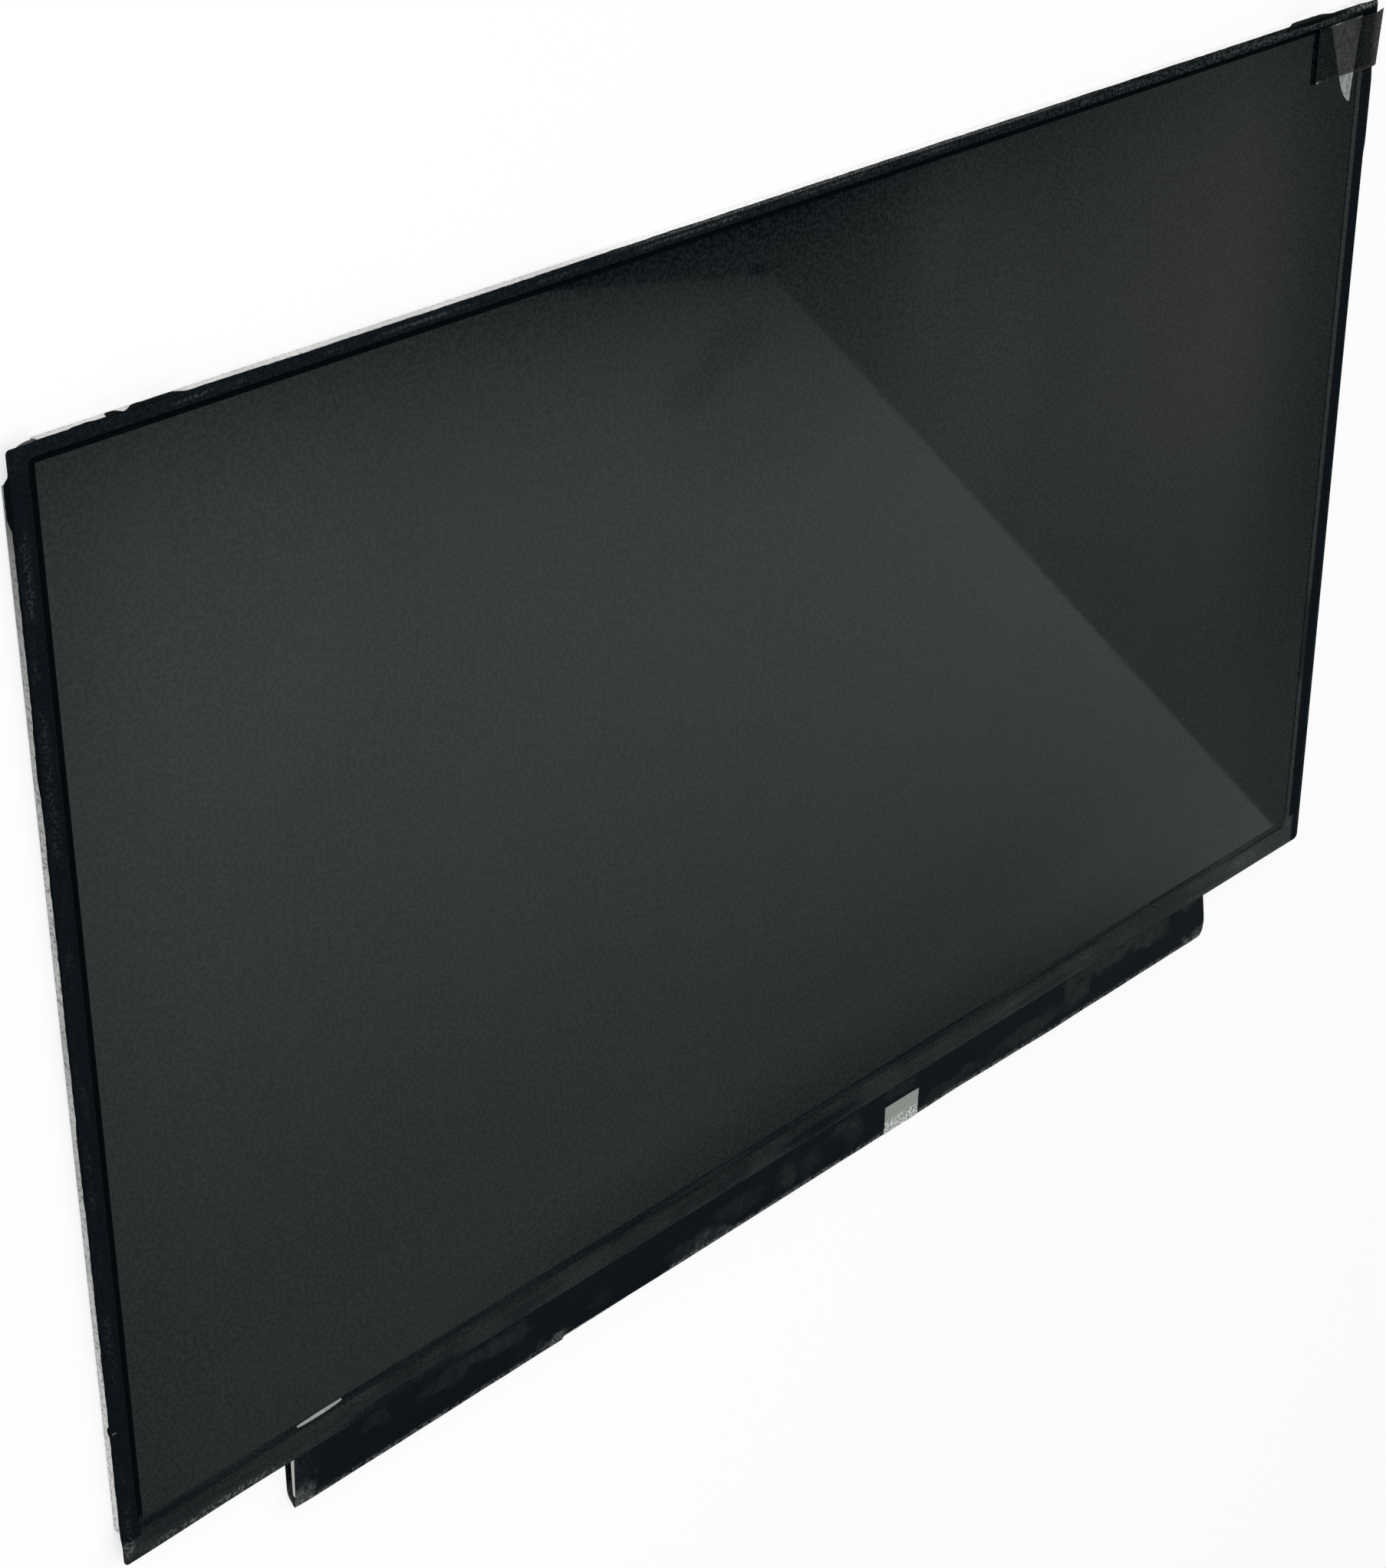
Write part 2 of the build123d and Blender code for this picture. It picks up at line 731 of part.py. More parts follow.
def build():
    """Every node of the panel by name."""
    nodes = {
        "back_cover": make_back_cover(),
        "mould_frame": make_mould_frame(),
        "reflector_sheet": guide_area.slab(floor, reflector_top),
        "light_guide": guide_area.slab(reflector_top, guide_top),
        "diffuser_sheet": guide_area.slab(guide_top, diffuser_top),
        "lower_prism_sheet": guide_area.slab(diffuser_top, lower_prism_top),
        "upper_prism_sheet": guide_area.slab(lower_prism_top, upper_prism_top),
        "light_strip": make_light_strip(),
        "lamps": make_lamps(),
        "rim_tape": array_area.slab(ledge_top, cell_low) - window.slab(ledge_top, cell_low),
        "rear_polarizer": window.grown(-sheet_clearance).slab(cell_low - polarizer_sheet, cell_low),
        "array_glass": array_area.slab(cell_low, array_top),
        "colour_filter_glass": filter_area.slab(array_top, filter_top),
        "front_polarizer": polarizer_area.slab(filter_top, screen_top),
        "protective_film": foot.grown(-film_inset).slab(screen_top, film_top, film_corner_radius),
        "control_board": board.slab(board_rear, board_front, board_corner_radius),
        "end_pad": make_end_pad(),
        "timing_chip": hang(timing_chip, board.left + timing_chip_from_end),
        "power_chip": hang(power_chip, board.left + power_chip_from_end),
        "backlight_chip": hang(backlight_chip, board.right - backlight_chip_from_end),
        "power_coils": make_coils(),
        "ceramic_capacitors": make_capacitors(),
        "data_connector_housing": make_connector_housing(),
        "data_connector_shell": make_connector_shell(),
        "data_connector_contacts": make_contacts(),
        "tail_connector": make_tail_connector(),
        "tail_latch": make_tail_latch(),
        "border_tape": make_border_tape(),
        "board_cover": make_board_cover(),
        "rear_sheet_left": make_rear_sheet(flap.left, connector_area().left - bay_side),
        "rear_sheet_right": make_rear_sheet(connector_area().right + bay_side, flap.right),
        "sticker": make_sticker(),
        "pull_tape": make_pull_tape(),
        "pull_tongue": make_pull_tongue(),
    }
    for number, x in enumerate(film_places, start=1):
        nodes[f"source_film_{number}"] = make_source_film(x)
        nodes[f"driver_chip_{number}"] = make_driver_chip(x)
    return nodes


os.makedirs("parts", exist_ok=True)
for name, shape in build().items():
    solids = shape if isinstance(shape, list) else shape.solids()
    export_step(Compound(children=list(solids)), f"parts/{name}.step")
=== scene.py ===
"""Looks of a laptop screen panel that lies on its back: finishes, thin sheets, stage, light and camera.

Lengths in the classes are millimetres in the panel's own frame. Meshes are written in metres.
A Span holds the two places or levels between which something changes softly. A Reach holds where a soft
stretch starts, is full, fades and ends.
"""
import logging
import math
from collections.abc import Callable
from dataclasses import dataclass
from enum import Enum

import bpy
from mathutils import Matrix, Vector, noise


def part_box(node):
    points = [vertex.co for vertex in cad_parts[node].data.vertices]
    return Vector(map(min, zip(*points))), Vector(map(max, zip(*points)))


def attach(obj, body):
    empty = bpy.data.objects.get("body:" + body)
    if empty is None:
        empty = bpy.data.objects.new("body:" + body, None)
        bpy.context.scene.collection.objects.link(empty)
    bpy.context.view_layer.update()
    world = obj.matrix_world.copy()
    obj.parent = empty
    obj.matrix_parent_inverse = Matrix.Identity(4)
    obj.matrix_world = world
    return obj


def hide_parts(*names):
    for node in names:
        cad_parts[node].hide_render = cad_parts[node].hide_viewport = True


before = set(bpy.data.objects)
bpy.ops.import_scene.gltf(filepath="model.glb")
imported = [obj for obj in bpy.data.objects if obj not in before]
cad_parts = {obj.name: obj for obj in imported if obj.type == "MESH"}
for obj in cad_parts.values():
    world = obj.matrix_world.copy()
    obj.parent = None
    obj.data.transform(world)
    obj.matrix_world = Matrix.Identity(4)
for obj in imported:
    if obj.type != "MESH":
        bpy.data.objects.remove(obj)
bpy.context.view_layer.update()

Axes = tuple[float, float, float]
Colour = tuple[float, float, float]
Span = tuple[float, float]
Reach = tuple[float, float, float, float]
Grid = list[list[Vector]]

MM = 0.001
BODY = "root"
QUARTER = math.radians(90.0)
SHARP_EDGE = math.radians(50.0)
EVEN: Axes = (1.0, 1.0, 1.0)
FACE_CUT: Span = (0.4, 0.6)
LOG = logging.getLogger("panel")


class Value:
    """A shader socket that takes part in Python expressions."""

    def __init__(self, shader: "Shader", socket: bpy.types.NodeSocket) -> None:
        """Keeps the socket and the shader that it belongs to."""
        self.shader = shader
        self.socket = socket

    def math(self, operation: str, *terms: "Value | float") -> "Value":
        """The result of a Math node on these terms."""
        return self.shader.value("ShaderNodeMath", {"operation": operation}, dict(enumerate(terms)))

    def __add__(self, other: "Value | float") -> "Value":
        """This plus other."""
        return self.math("ADD", self, other)

    def __radd__(self, other: float) -> "Value":
        """Other plus this."""
        return self.math("ADD", other, self)

    def __sub__(self, other: "Value | float") -> "Value":
        """This minus other."""
        return self.math("SUBTRACT", self, other)

    def __rsub__(self, other: float) -> "Value":
        """Other minus this."""
        return self.math("SUBTRACT", other, self)

    def __mul__(self, other: "Value | float") -> "Value":
        """This times other."""
        return self.math("MULTIPLY", self, other)

    def __rmul__(self, other: float) -> "Value":
        """Other times this."""
        return self.math("MULTIPLY", other, self)

    def __truediv__(self, other: "Value | float") -> "Value":
        """This divided by other."""
        return self.math("DIVIDE", self, other)

    def __rtruediv__(self, other: float) -> "Value":
        """Other divided by this."""
        return self.math("DIVIDE", other, self)

    def __abs__(self) -> "Value":
        """This without its sign."""
        return self.math("ABSOLUTE", self)

    def least(self, other: "Value | float") -> "Value":
        """The smaller of this and other."""
        return self.math("MINIMUM", self, other)

    def most(self, other: "Value | float") -> "Value":
        """The larger of this and other."""
        return self.math("MAXIMUM", self, other)

    def rest(self, length: float) -> "Value":
        """What is left of 1 after an even decay over this distance."""
        return self.math("EXPONENT", self * (-1.0 / length))

    def step(self, low: float, high: float) -> "Value":
        """A smooth step from 0 at low to 1 at high, which may lie below low."""
        ends = {"Value": self, "From Min": low, "From Max": high}
        return self.shader.value("ShaderNodeMapRange", {"interpolation_type": "SMOOTHSTEP"}, ends)

    def within(self, start: float, full: float, fade: float, end: float) -> "Value":
        """1 from full to fade, with soft ends at start and end."""
        return self.step(start, full) * self.step(end, fade)

    def between(self, low: float, high: float) -> "Value":
        """This mask as a level, which is low where the mask is 0 and high where it is 1."""
        return low + (high - low) * self

    def swing(self, by: float) -> "Value":
        """This noise as a change of so much about 0."""
        return by * (self - 0.5)

    def ridge(self, middle: float, half: float) -> "Value":
        """A ridge of height 1 that falls evenly to 0 on both sides of its middle."""
        return (1.0 - abs(self - middle) / half).most(0.0)


class Shader:
    """Builds the nodes of one material or of the world."""

    speck_edge: float = 0.5
    speck_choice: float = 0.01

    def __init__(self, tree: bpy.types.NodeTree) -> None:
        """Empties the tree."""
        self.tree = tree
        tree.nodes.clear()

    def node(self, kind: str, settings: dict | None = None, inputs: dict | None = None) -> bpy.types.Node:
        """Adds one node.

        Args:
            kind: The node's type.
            settings: Its properties, which are set first.
            inputs: Values or links of its sockets, by name or number.

        Returns:
            The new node.
        """
        made = self.tree.nodes.new(kind)
        for name, setting in (settings or {}).items():
            setattr(made, name, setting)
        for key, entry in (inputs or {}).items():
            self.feed(made.inputs[key], entry)
        return made

    def value(self, kind: str, settings: dict | None = None, inputs: dict | None = None,
              output: int | str = 0) -> Value:
        """One output of a new node."""
        return Value(self, self.node(kind, settings, inputs).outputs[output])

    def feed(self, socket: bpy.types.NodeSocket, entry: "Value | float | tuple") -> None:
        """Fills a socket.

        Args:
            socket: The input socket.
            entry: A value to link to it, or a number, colour or vector to set on it.
        """
        if isinstance(entry, Value):
            self.tree.links.new(entry.socket, socket)
        elif socket.type == "RGBA":
            socket.default_value = (*entry, 1.0)
        else:
            socket.default_value = entry

    def place(self, stretch: Axes = EVEN) -> Value:
        """The place on the panel in millimetres.

        Args:
            stretch: Factor of each axis.

        Returns:
            The place as a vector.
        """
        coords = self.value("ShaderNodeTexCoord", output="Object")
        scale = tuple(factor / MM for factor in stretch)
        return self.value("ShaderNodeVectorMath", {"operation": "MULTIPLY"}, {0: coords, 1: scale})

    def axes(self, vector: Value | None = None) -> tuple[Value, Value, Value]:
        """The three parts of a vector, or of the place in millimetres."""
        node = self.node("ShaderNodeSeparateXYZ", None, {0: vector or self.place()})
        return tuple(Value(self, output) for output in node.outputs)

    def facing(self) -> tuple[Value, Value, Value]:
        """The parts of the surface's own normal."""
        return self.axes(self.value("ShaderNodeNewGeometry", output="Normal"))

    def noise(self, size: float, detail: float, stretch: Axes = EVEN) -> Value:
        """Soft noise about 0.5, by the size of its blotches, its finer layers and each axis's stretch."""
        inputs = {"Vector": self.place(stretch), "Scale": 1.0 / size, "Detail": detail}
        return self.value("ShaderNodeTexNoise", None, inputs)

    def specks(self, spacing: float, radius: float, share: float) -> Value:
        """Scattered round specks.

        Args:
            spacing: Mean distance of the cells that may hold a speck, in millimetres.
            radius: Size of a speck as a share of its cell.
            share: Share of the cells that hold one.

        Returns:
            A mask that is 1 on the specks.
        """
        node = self.node("ShaderNodeTexVoronoi", None, {"Vector": self.place(), "Scale": 1.0 / spacing})
        lot = self.axes(Value(self, node.outputs["Color"]))[0]
        chosen = lot.step(1.0 - share, 1.0 - share + self.speck_choice)
        return Value(self, node.outputs["Distance"]).step(radius, self.speck_edge * radius) * chosen

    def mix(self, factor: "Value | float", first: "Value | Colour", second: "Value | Colour") -> Value:
        """A colour between two others."""
        return self.value("ShaderNodeMix", {"data_type": "RGBA"}, {0: factor, 6: first, 7: second}, 2)

    def surface(self, look: dict, height: Value, relief: float) -> None:
        """Ends a material in one principled surface.

        Args:
            look: Numbers, colours or links of the surface's sockets.
            height: Its relief, where 1 is the full height.
            relief: That height in millimetres.
        """
        bump = self.value("ShaderNodeBump", None, {"Distance": relief * MM, "Height": height}, "Normal")
        principled = self.value("ShaderNodeBsdfPrincipled", None, {**look, "Normal": bump})
        self.node("ShaderNodeOutputMaterial", None, {"Surface": principled})


@dataclass(frozen=True)
class Texture:
    """Noise on a surface, with the two levels between which it is cut to a mask."""

    size: float
    cut: Span = (0.0, 1.0)
    detail: float = 4.0
    stretch: Axes = EVEN

    def raw(self, shader: Shader) -> Value:
        """The noise itself, about 0.5."""
        return shader.noise(self.size, self.detail, self.stretch)

    def mask(self, shader: Shader) -> Value:
        """The noise cut to a mask."""
        return self.raw(shader).step(*self.cut)


@dataclass(frozen=True)
class Rise:
    """A soft change of a level between two places, down where the gain is negative."""

    gain: float
    start: float
    end: float


@dataclass(frozen=True)
class Profile:
    """A level along one axis: its base and the soft changes that add to it."""

    base: float
    rises: tuple[Rise, ...]

    def along(self, place: Value) -> Value:
        """The level at a place."""
        return sum((rise.gain * place.step(rise.start, rise.end) for rise in self.rises), self.base)


@dataclass(frozen=True)
class Mark:
    """A soft oval mark on a surface."""

    x: float
    y: float
    half_x: float
    half_y: float
    share: float
    core: float = 0.1

    def mask(self, x: Value, y: Value) -> Value:
        """The mark at a place.

        Args:
            x: Place along the panel.
            y: Place up the panel.

        Returns:
            The mark's share in its core, which fades to nothing at its edge.
        """
        off_x = (x - self.x) / self.half_x
        off_y = (y - self.y) / self.half_y
        return self.share * (off_x * off_x + off_y * off_y).step(1.0, self.core)


def marked(marks: tuple[Mark, ...], x: Value, y: Value) -> Value:
    """The sum of some marks' masks."""
    masks = [mark.mask(x, y) for mark in marks]
    return sum(masks[1:], masks[0])


class Side(Enum):
    """A side of the panel, in the order that a ring runs round it."""

    BOTTOM = 0
    RIGHT = 1
    TOP = 2
    LEFT = 3

    @property
    def out(self) -> float:
        """The angle of the side's outward direction."""
        return QUARTER * (self.value - 1)


@dataclass(frozen=True)
class Rect:
    """A rectangle in plan."""

    left: float
    right: float
    bottom: float
    top: float

    def grown(self, by: float) -> "Rect":
        """The rectangle with its edges moved out."""
        return Rect(self.left - by, self.right + by, self.bottom - by, self.top + by)

    def toward(self, other: "Rect", share: float) -> "Rect":
        """A rectangle between this one and another.

        Args:
            other: The other rectangle.
            share: How far it lies on the way to the other.

        Returns:
            The rectangle.
        """
        keep = 1.0 - share
        return Rect(keep * self.left + share * other.left, keep * self.right + share * other.right,
                    keep * self.bottom + share * other.bottom, keep * self.top + share * other.top)

    def corner(self, side: Side, radius: float) -> Vector:
        """Middle of a round corner.

        Args:
            side: The side that the corner follows.
            radius: The corner's radius.

        Returns:
            The middle, at height 0.
        """
        x = self.right - radius if side in (Side.BOTTOM, Side.RIGHT) else self.left + radius
        y = self.top - radius if side in (Side.RIGHT, Side.TOP) else self.bottom + radius
        return Vector((x, y, 0.0))


@dataclass(frozen=True)
class Finish:
    """A finish that turns itself into a material."""

    name: str

    def material(self) -> bpy.types.Material:
        """Makes the finish's material on its first use.

        Returns:
            The material.
        """
        title = f"{self.name}_finish"
        made = bpy.data.materials.get(title)
        if made is None:
            made = bpy.data.materials.new(title)
            made.use_nodes = True
            self.paint(Shader(made.node_tree))
        return made

    def paint(self, shader: Shader) -> None:
        """Writes the finish's nodes."""
        raise NotImplementedError

    def dress(self, *pieces: bpy.types.Object) -> None:
        """Puts the finish on pieces, in place of what they wear.

        Args:
            pieces: The pieces.
        """
        for piece in pieces:
            piece.data.materials.clear()
            piece.data.materials.append(self.material())


@dataclass(frozen=True)
class PlainFinish(Finish):
    """An even material with a fine grain and soft blotches."""

    colour: Colour
    rough: float
    grain: float
    metal: float = 0.0
    relief: float = 0.004
    blotch: float = 6.0
    fade: float = 0.25
    layers: float = 3.0
    blotch_cut: Span = (0.3, 0.7)
    blotch_rough: float = 0.12
    grain_rough: float = 0.1

    def paint(self, shader: Shader) -> None:
        """Puts the grain in the relief and the blotches in colour and gloss.

        Args:
            shader: Builder of the material's nodes.
        """
        grain = shader.noise(self.grain, self.layers)
        blotch = shader.noise(self.blotch, self.layers)
        dark = tuple(part * (1.0 - self.fade) for part in self.colour)
        colour = shader.mix(blotch.step(*self.blotch_cut), dark, self.colour)
        rough = self.rough + blotch.swing(self.blotch_rough) + grain.swing(self.grain_rough)
        look = {"Base Color": colour, "Roughness": rough, "Metallic": self.metal}
        shader.surface(look, grain, self.relief)


@dataclass(frozen=True)
class ScreenFinish(Finish):
    """Dark glossy film with a fine anti-glare grain, faint smears and a few dust specks."""

    deep: Colour = (0.0002, 0.0008, 0.0024)
    cool: Colour = (0.0066, 0.0102, 0.0126)
    warm: Colour = (0.0078, 0.0102, 0.0114)
    hazy: Colour = (0.0072, 0.0094, 0.0108)
    dust: Colour = (0.12, 0.13, 0.125)
    grain: Texture = Texture(0.7, (0.39, 0.61))
    hue: Texture = Texture(13.0, (0.38, 0.62))
    smear: Texture = Texture(38.0, (0.45, 0.75))
    smear_share: float = 0.3
    dust_spacing: float = 13.0
    dust_radius: float = 0.014
    dust_share: float = 0.12
    rough: float = 0.012
    smear_rough: float = 0.012
    dust_rough: float = 0.3
    index: float = 1.45
    relief: float = 0.00006

    def paint(self, shader: Shader) -> None:
        """Makes a dark mirror with a grain under it and patches of a cooler and a warmer hue.

        Args:
            shader: Builder of the material's nodes.
        """
        grain = self.grain.raw(shader)
        smear = self.smear.mask(shader)
        dust = shader.specks(self.dust_spacing, self.dust_radius, self.dust_share)
        light = shader.mix(self.hue.mask(shader), self.cool, self.warm)
        colour = shader.mix(grain.step(*self.grain.cut), self.deep, light)
        colour = shader.mix(self.smear_share * smear, colour, self.hazy)
        colour = shader.mix(dust, colour, self.dust)
        rough = self.rough + self.smear_rough * smear + self.dust_rough * dust
        look = {"Base Color": colour, "Roughness": rough, "IOR": self.index}
        shader.surface(look, grain, self.relief)


@dataclass(frozen=True)
class TapeFinish(Finish):
    """Black tape, speckled by wear, with a streak along its top side. A grey band along its lower side is
    part smudge and part painted sheen, the right slope carries a painted highlight, and the other slopes and
    feet, the skirt and a few black marks are painted shade.
    """

    area: Rect
    top: float
    foot: float
    # Black is the tape's own colour and, on its slopes, feet and skirt, painted shade; slate is its own tone
    # with its sheen painted in; grey serves wear, painted sheen and a painted highlight.
    black: Colour = (0.0016, 0.0028, 0.0034)
    slate: Colour = (0.0056, 0.0088, 0.0119)
    grey: Colour = (0.04, 0.0475, 0.044)
    line: Colour = (0.075, 0.085, 0.08)
    pale: Colour = (0.17, 0.18, 0.172)
    bare: tuple[Mark, ...] = (Mark(2.0, -99.6, 17.0, 1.7, 0.75), Mark(-114.0, -100.6, 20.0, 1.6, 0.8),
                              Mark(-32.0, -99.0, 14.0, 1.6, 0.3))
    light: tuple[Mark, ...] = (Mark(-175.9, -98.8, 1.8, 2.6, 0.45), Mark(-152.0, -100.9, 13.0, 1.4, 0.55),
                               Mark(-166.0, -101.0, 8.0, 1.2, 0.35), Mark(172.0, 101.2, 7.5, 1.2, 0.75),
                               Mark(154.0, -98.4, 8.0, 2.2, 0.2), Mark(-176.4, -73.6, 0.7, 0.3, 0.8))
    shade: tuple[Mark, ...] = (Mark(152.0, 101.3, 14.0, 1.0, 1.0), Mark(172.5, 99.2, 9.5, 1.3, 1.0))
    fine: Texture = Texture(0.42, (0.34, 0.66))
    speck: Texture = Texture(0.62, (0.42, 0.66), 3.0)
    patches: Texture = Texture(9.0, (0.4, 0.66), 4.0, (0.7, 1.3, 1.0))
    lines: Texture = Texture(2.4, (0.34, 0.64), 4.0, (0.06, 1.5, 1.0))
    dents: Texture = Texture(2.5, detail=2.0)
    flat_depth: Span = (0.3, 0.08)
    foot_height: Span = (0.04, 0.01)
    slope_inset: Span = (1.6, 2.0)
    top_side: Span = (3.3, 2.9)
    low_side: Span = (7.6, 7.2)
    right_side: Span = (5.2, 4.6)
    left_half: Span = (0.0, -1.0)
    right_half: Span = (0.0, 1.0)
    slate_level: Span = (0.35, 1.0)
    slope_level: Span = (0.5, 1.0)
    thin: Reach = (-60.0, -55.0, -39.0, -33.0)
    thin_level: Span = (1.0, 0.5)
    fold_height: Span = (2.45, 2.6)
    fold_inset: Span = (0.4, 0.15)
    fold_reach: Reach = (-60.0, -40.0, 55.0, 80.0)
    fold_share: float = 0.55
    rub_ridge: Span = (1.3, 1.2)
    rub_patches: Texture = Texture(7.0, (0.42, 0.64), 4.0, (1.6, 0.7, 1.0))
    left_rub: Profile = Profile(0.42, (Rise(0.42, 0.0, 50.0),))
    right_rub: float = 0.3
    right_rub_inset: Span = (0.8, 0.3)
    top_rub: Profile = Profile(0.12, (Rise(0.1, -110.0, 0.0), Rise(0.5, 30.0, 110.0)))
    streak_ridge: Span = (1.0, 0.42)
    streak_breaks: Texture = Texture(14.0, (0.44, 0.62), 3.0, (1.0, 0.2, 1.0))
    streak_start: Span = (-152.0, -140.0)
    streak_level: Span = (0.12, 0.72)
    bloom_level: Span = (0.45, 1.0)
    bloom_lines: Span = (0.72, 1.14)
    bloom_end: Span = (1.4, 3.2)
    band_bloom: Profile = Profile(0.36, (Rise(0.22, 10.0, 60.0), Rise(0.75, 120.0, 155.0)))
    band_patches: float = 0.24
    slope_gain: float = 1.15
    foot_bloom: Profile = Profile(0.1, (Rise(0.4, 50.0, 150.0),))
    foot_lines: float = 0.22
    corner_width: Span = (4.2, 3.6)
    corner_above: Span = (-97.6, -97.0)
    rough: float = 0.5
    fine_rough: float = 0.16
    patch_gloss: float = 0.12
    specular: float = 0.004
    relief: float = 0.006
    dent_gain: float = 2.0

    def paint(self, shader: Shader) -> None:
        """Places the wear, the painted sheen, the painted highlight and the painted shade by side, by the
        distance from the outer edge and by height.

        Args:
            shader: Builder of the material's nodes.
        """
        x, y, z = shader.axes()
        area = self.area
        inset = (area.right - abs(x)).least(area.top - abs(y))
        fine, speck = self.fine.mask(shader), self.speck.mask(shader)
        patches, lines = self.patches.mask(shader), self.lines.mask(shader)
        flat = (self.top - z).step(*self.flat_depth)
        on_foot = (z - self.foot).step(*self.foot_height)
        slope = (1.0 - flat) * inset.step(*self.slope_inset)
        upper = (area.top - y).step(*self.top_side)
        lower = (y - area.bottom).step(*self.low_side)
        # Slate on the flat top and on the lower foot; the slopes, the other feet and the skirt stay black as
        # painted shade.
        shown = flat.most(lower * on_foot) * fine.between(*self.slate_level)
        colour = shader.mix(shown, self.black, self.slate)
        colour = shader.mix(self.rubbed(shader, x, y, inset, upper) * speck * flat, colour, self.grey)
        streak = self.streak(shader, x, inset) * upper * speck.between(*self.streak_level)
        colour = shader.mix(streak, colour, self.line)
        # Grey along the lower side: part smudge, part painted sheen, strongest on the slope.
        smudge_and_sheen = self.smudge_and_sheen(x, y, flat, slope * (1.0 - on_foot), on_foot, patches, lines) * lower
        colour = shader.mix(smudge_and_sheen * fine.between(*self.bloom_level), colour, self.grey)
        # Painted highlight on the right slope.
        lit = slope * (area.right - x).step(*self.right_side) * y.within(*self.thin).between(*self.thin_level)
        colour = shader.mix(lit * fine.between(*self.slope_level), colour, self.grey)
        fold = upper * z.step(*self.fold_height) * inset.step(*self.fold_inset) * x.within(*self.fold_reach)
        pale = (marked(self.light, x, y) * flat).least(1.0) * speck + self.fold_share * fold * fine
        colour = shader.mix(pale, colour, self.pale)
        # Black marks as painted shadow.
        colour = shader.mix(marked(self.shade, x, y).least(1.0), colour, self.black)
        rough = self.rough + fine.swing(self.fine_rough) - self.patch_gloss * patches
        look = {"Base Color": colour, "Roughness": rough, "Specular IOR Level": self.specular}
        shader.surface(look, fine + self.dent_gain * self.dents.raw(shader), self.relief)

    def rubbed(self, shader: Shader, x: Value, y: Value, inset: Value, upper: Value) -> Value:
        """Speckled wear: patches along the left side, a line on the right and more and more along the top.

        Args:
            shader: Builder of the material's nodes.
            x: Place along the panel.
            y: Place up the panel.
            inset: Distance from the outer edge.
            upper: Mask of the top side.

        Returns:
            The wear's mask.
        """
        patches = self.rub_patches.mask(shader) * inset.ridge(*self.rub_ridge)
        left = patches * x.step(*self.left_half) * self.left_rub.along(y)
        right = self.right_rub * inset.step(*self.right_rub_inset) * x.step(*self.right_half)
        return (left + right) * (1.0 - upper) + upper * self.top_rub.along(x)

    def streak(self, shader: Shader, x: Value, inset: Value) -> Value:
        """Broken light line along the middle of the top side."""
        broken = self.streak_breaks.mask(shader) * x.step(*self.streak_start)
        return inset.ridge(*self.streak_ridge) * broken

    def smudge_and_sheen(self, x: Value, y: Value, flat: Value, slope: Value, on_foot: Value, patches: Value,
              lines: Value) -> Value:
        """Grey band along the lower side, part smudge and part painted sheen: on its slope, on its flat top
        and, at the right, on its foot.

        Args:
            x: Place along the panel.
            y: Place up the panel.
            flat: Mask of the tape's flat top.
            slope: Mask of its slope.
            on_foot: Mask of its foot on the screen.
            patches: Noise of the wear's patches.
            lines: Noise of fine lines along the side.

        Returns:
            The mask of the smudges and the painted sheen.
        """
        corner = (x - self.area.left).step(*self.corner_width) * y.step(*self.corner_above)
        end = (self.area.right - x).step(*self.bloom_end)
        level = self.band_bloom.along(x) + self.band_patches * patches
        foot = on_foot * (self.foot_bloom.along(x) + self.foot_lines * lines)
        band = level * (flat * (1.0 - marked(self.bare, x, y)) + self.slope_gain * slope)
        return (1.0 - corner) * end * (band + foot) * lines.between(*self.bloom_lines)


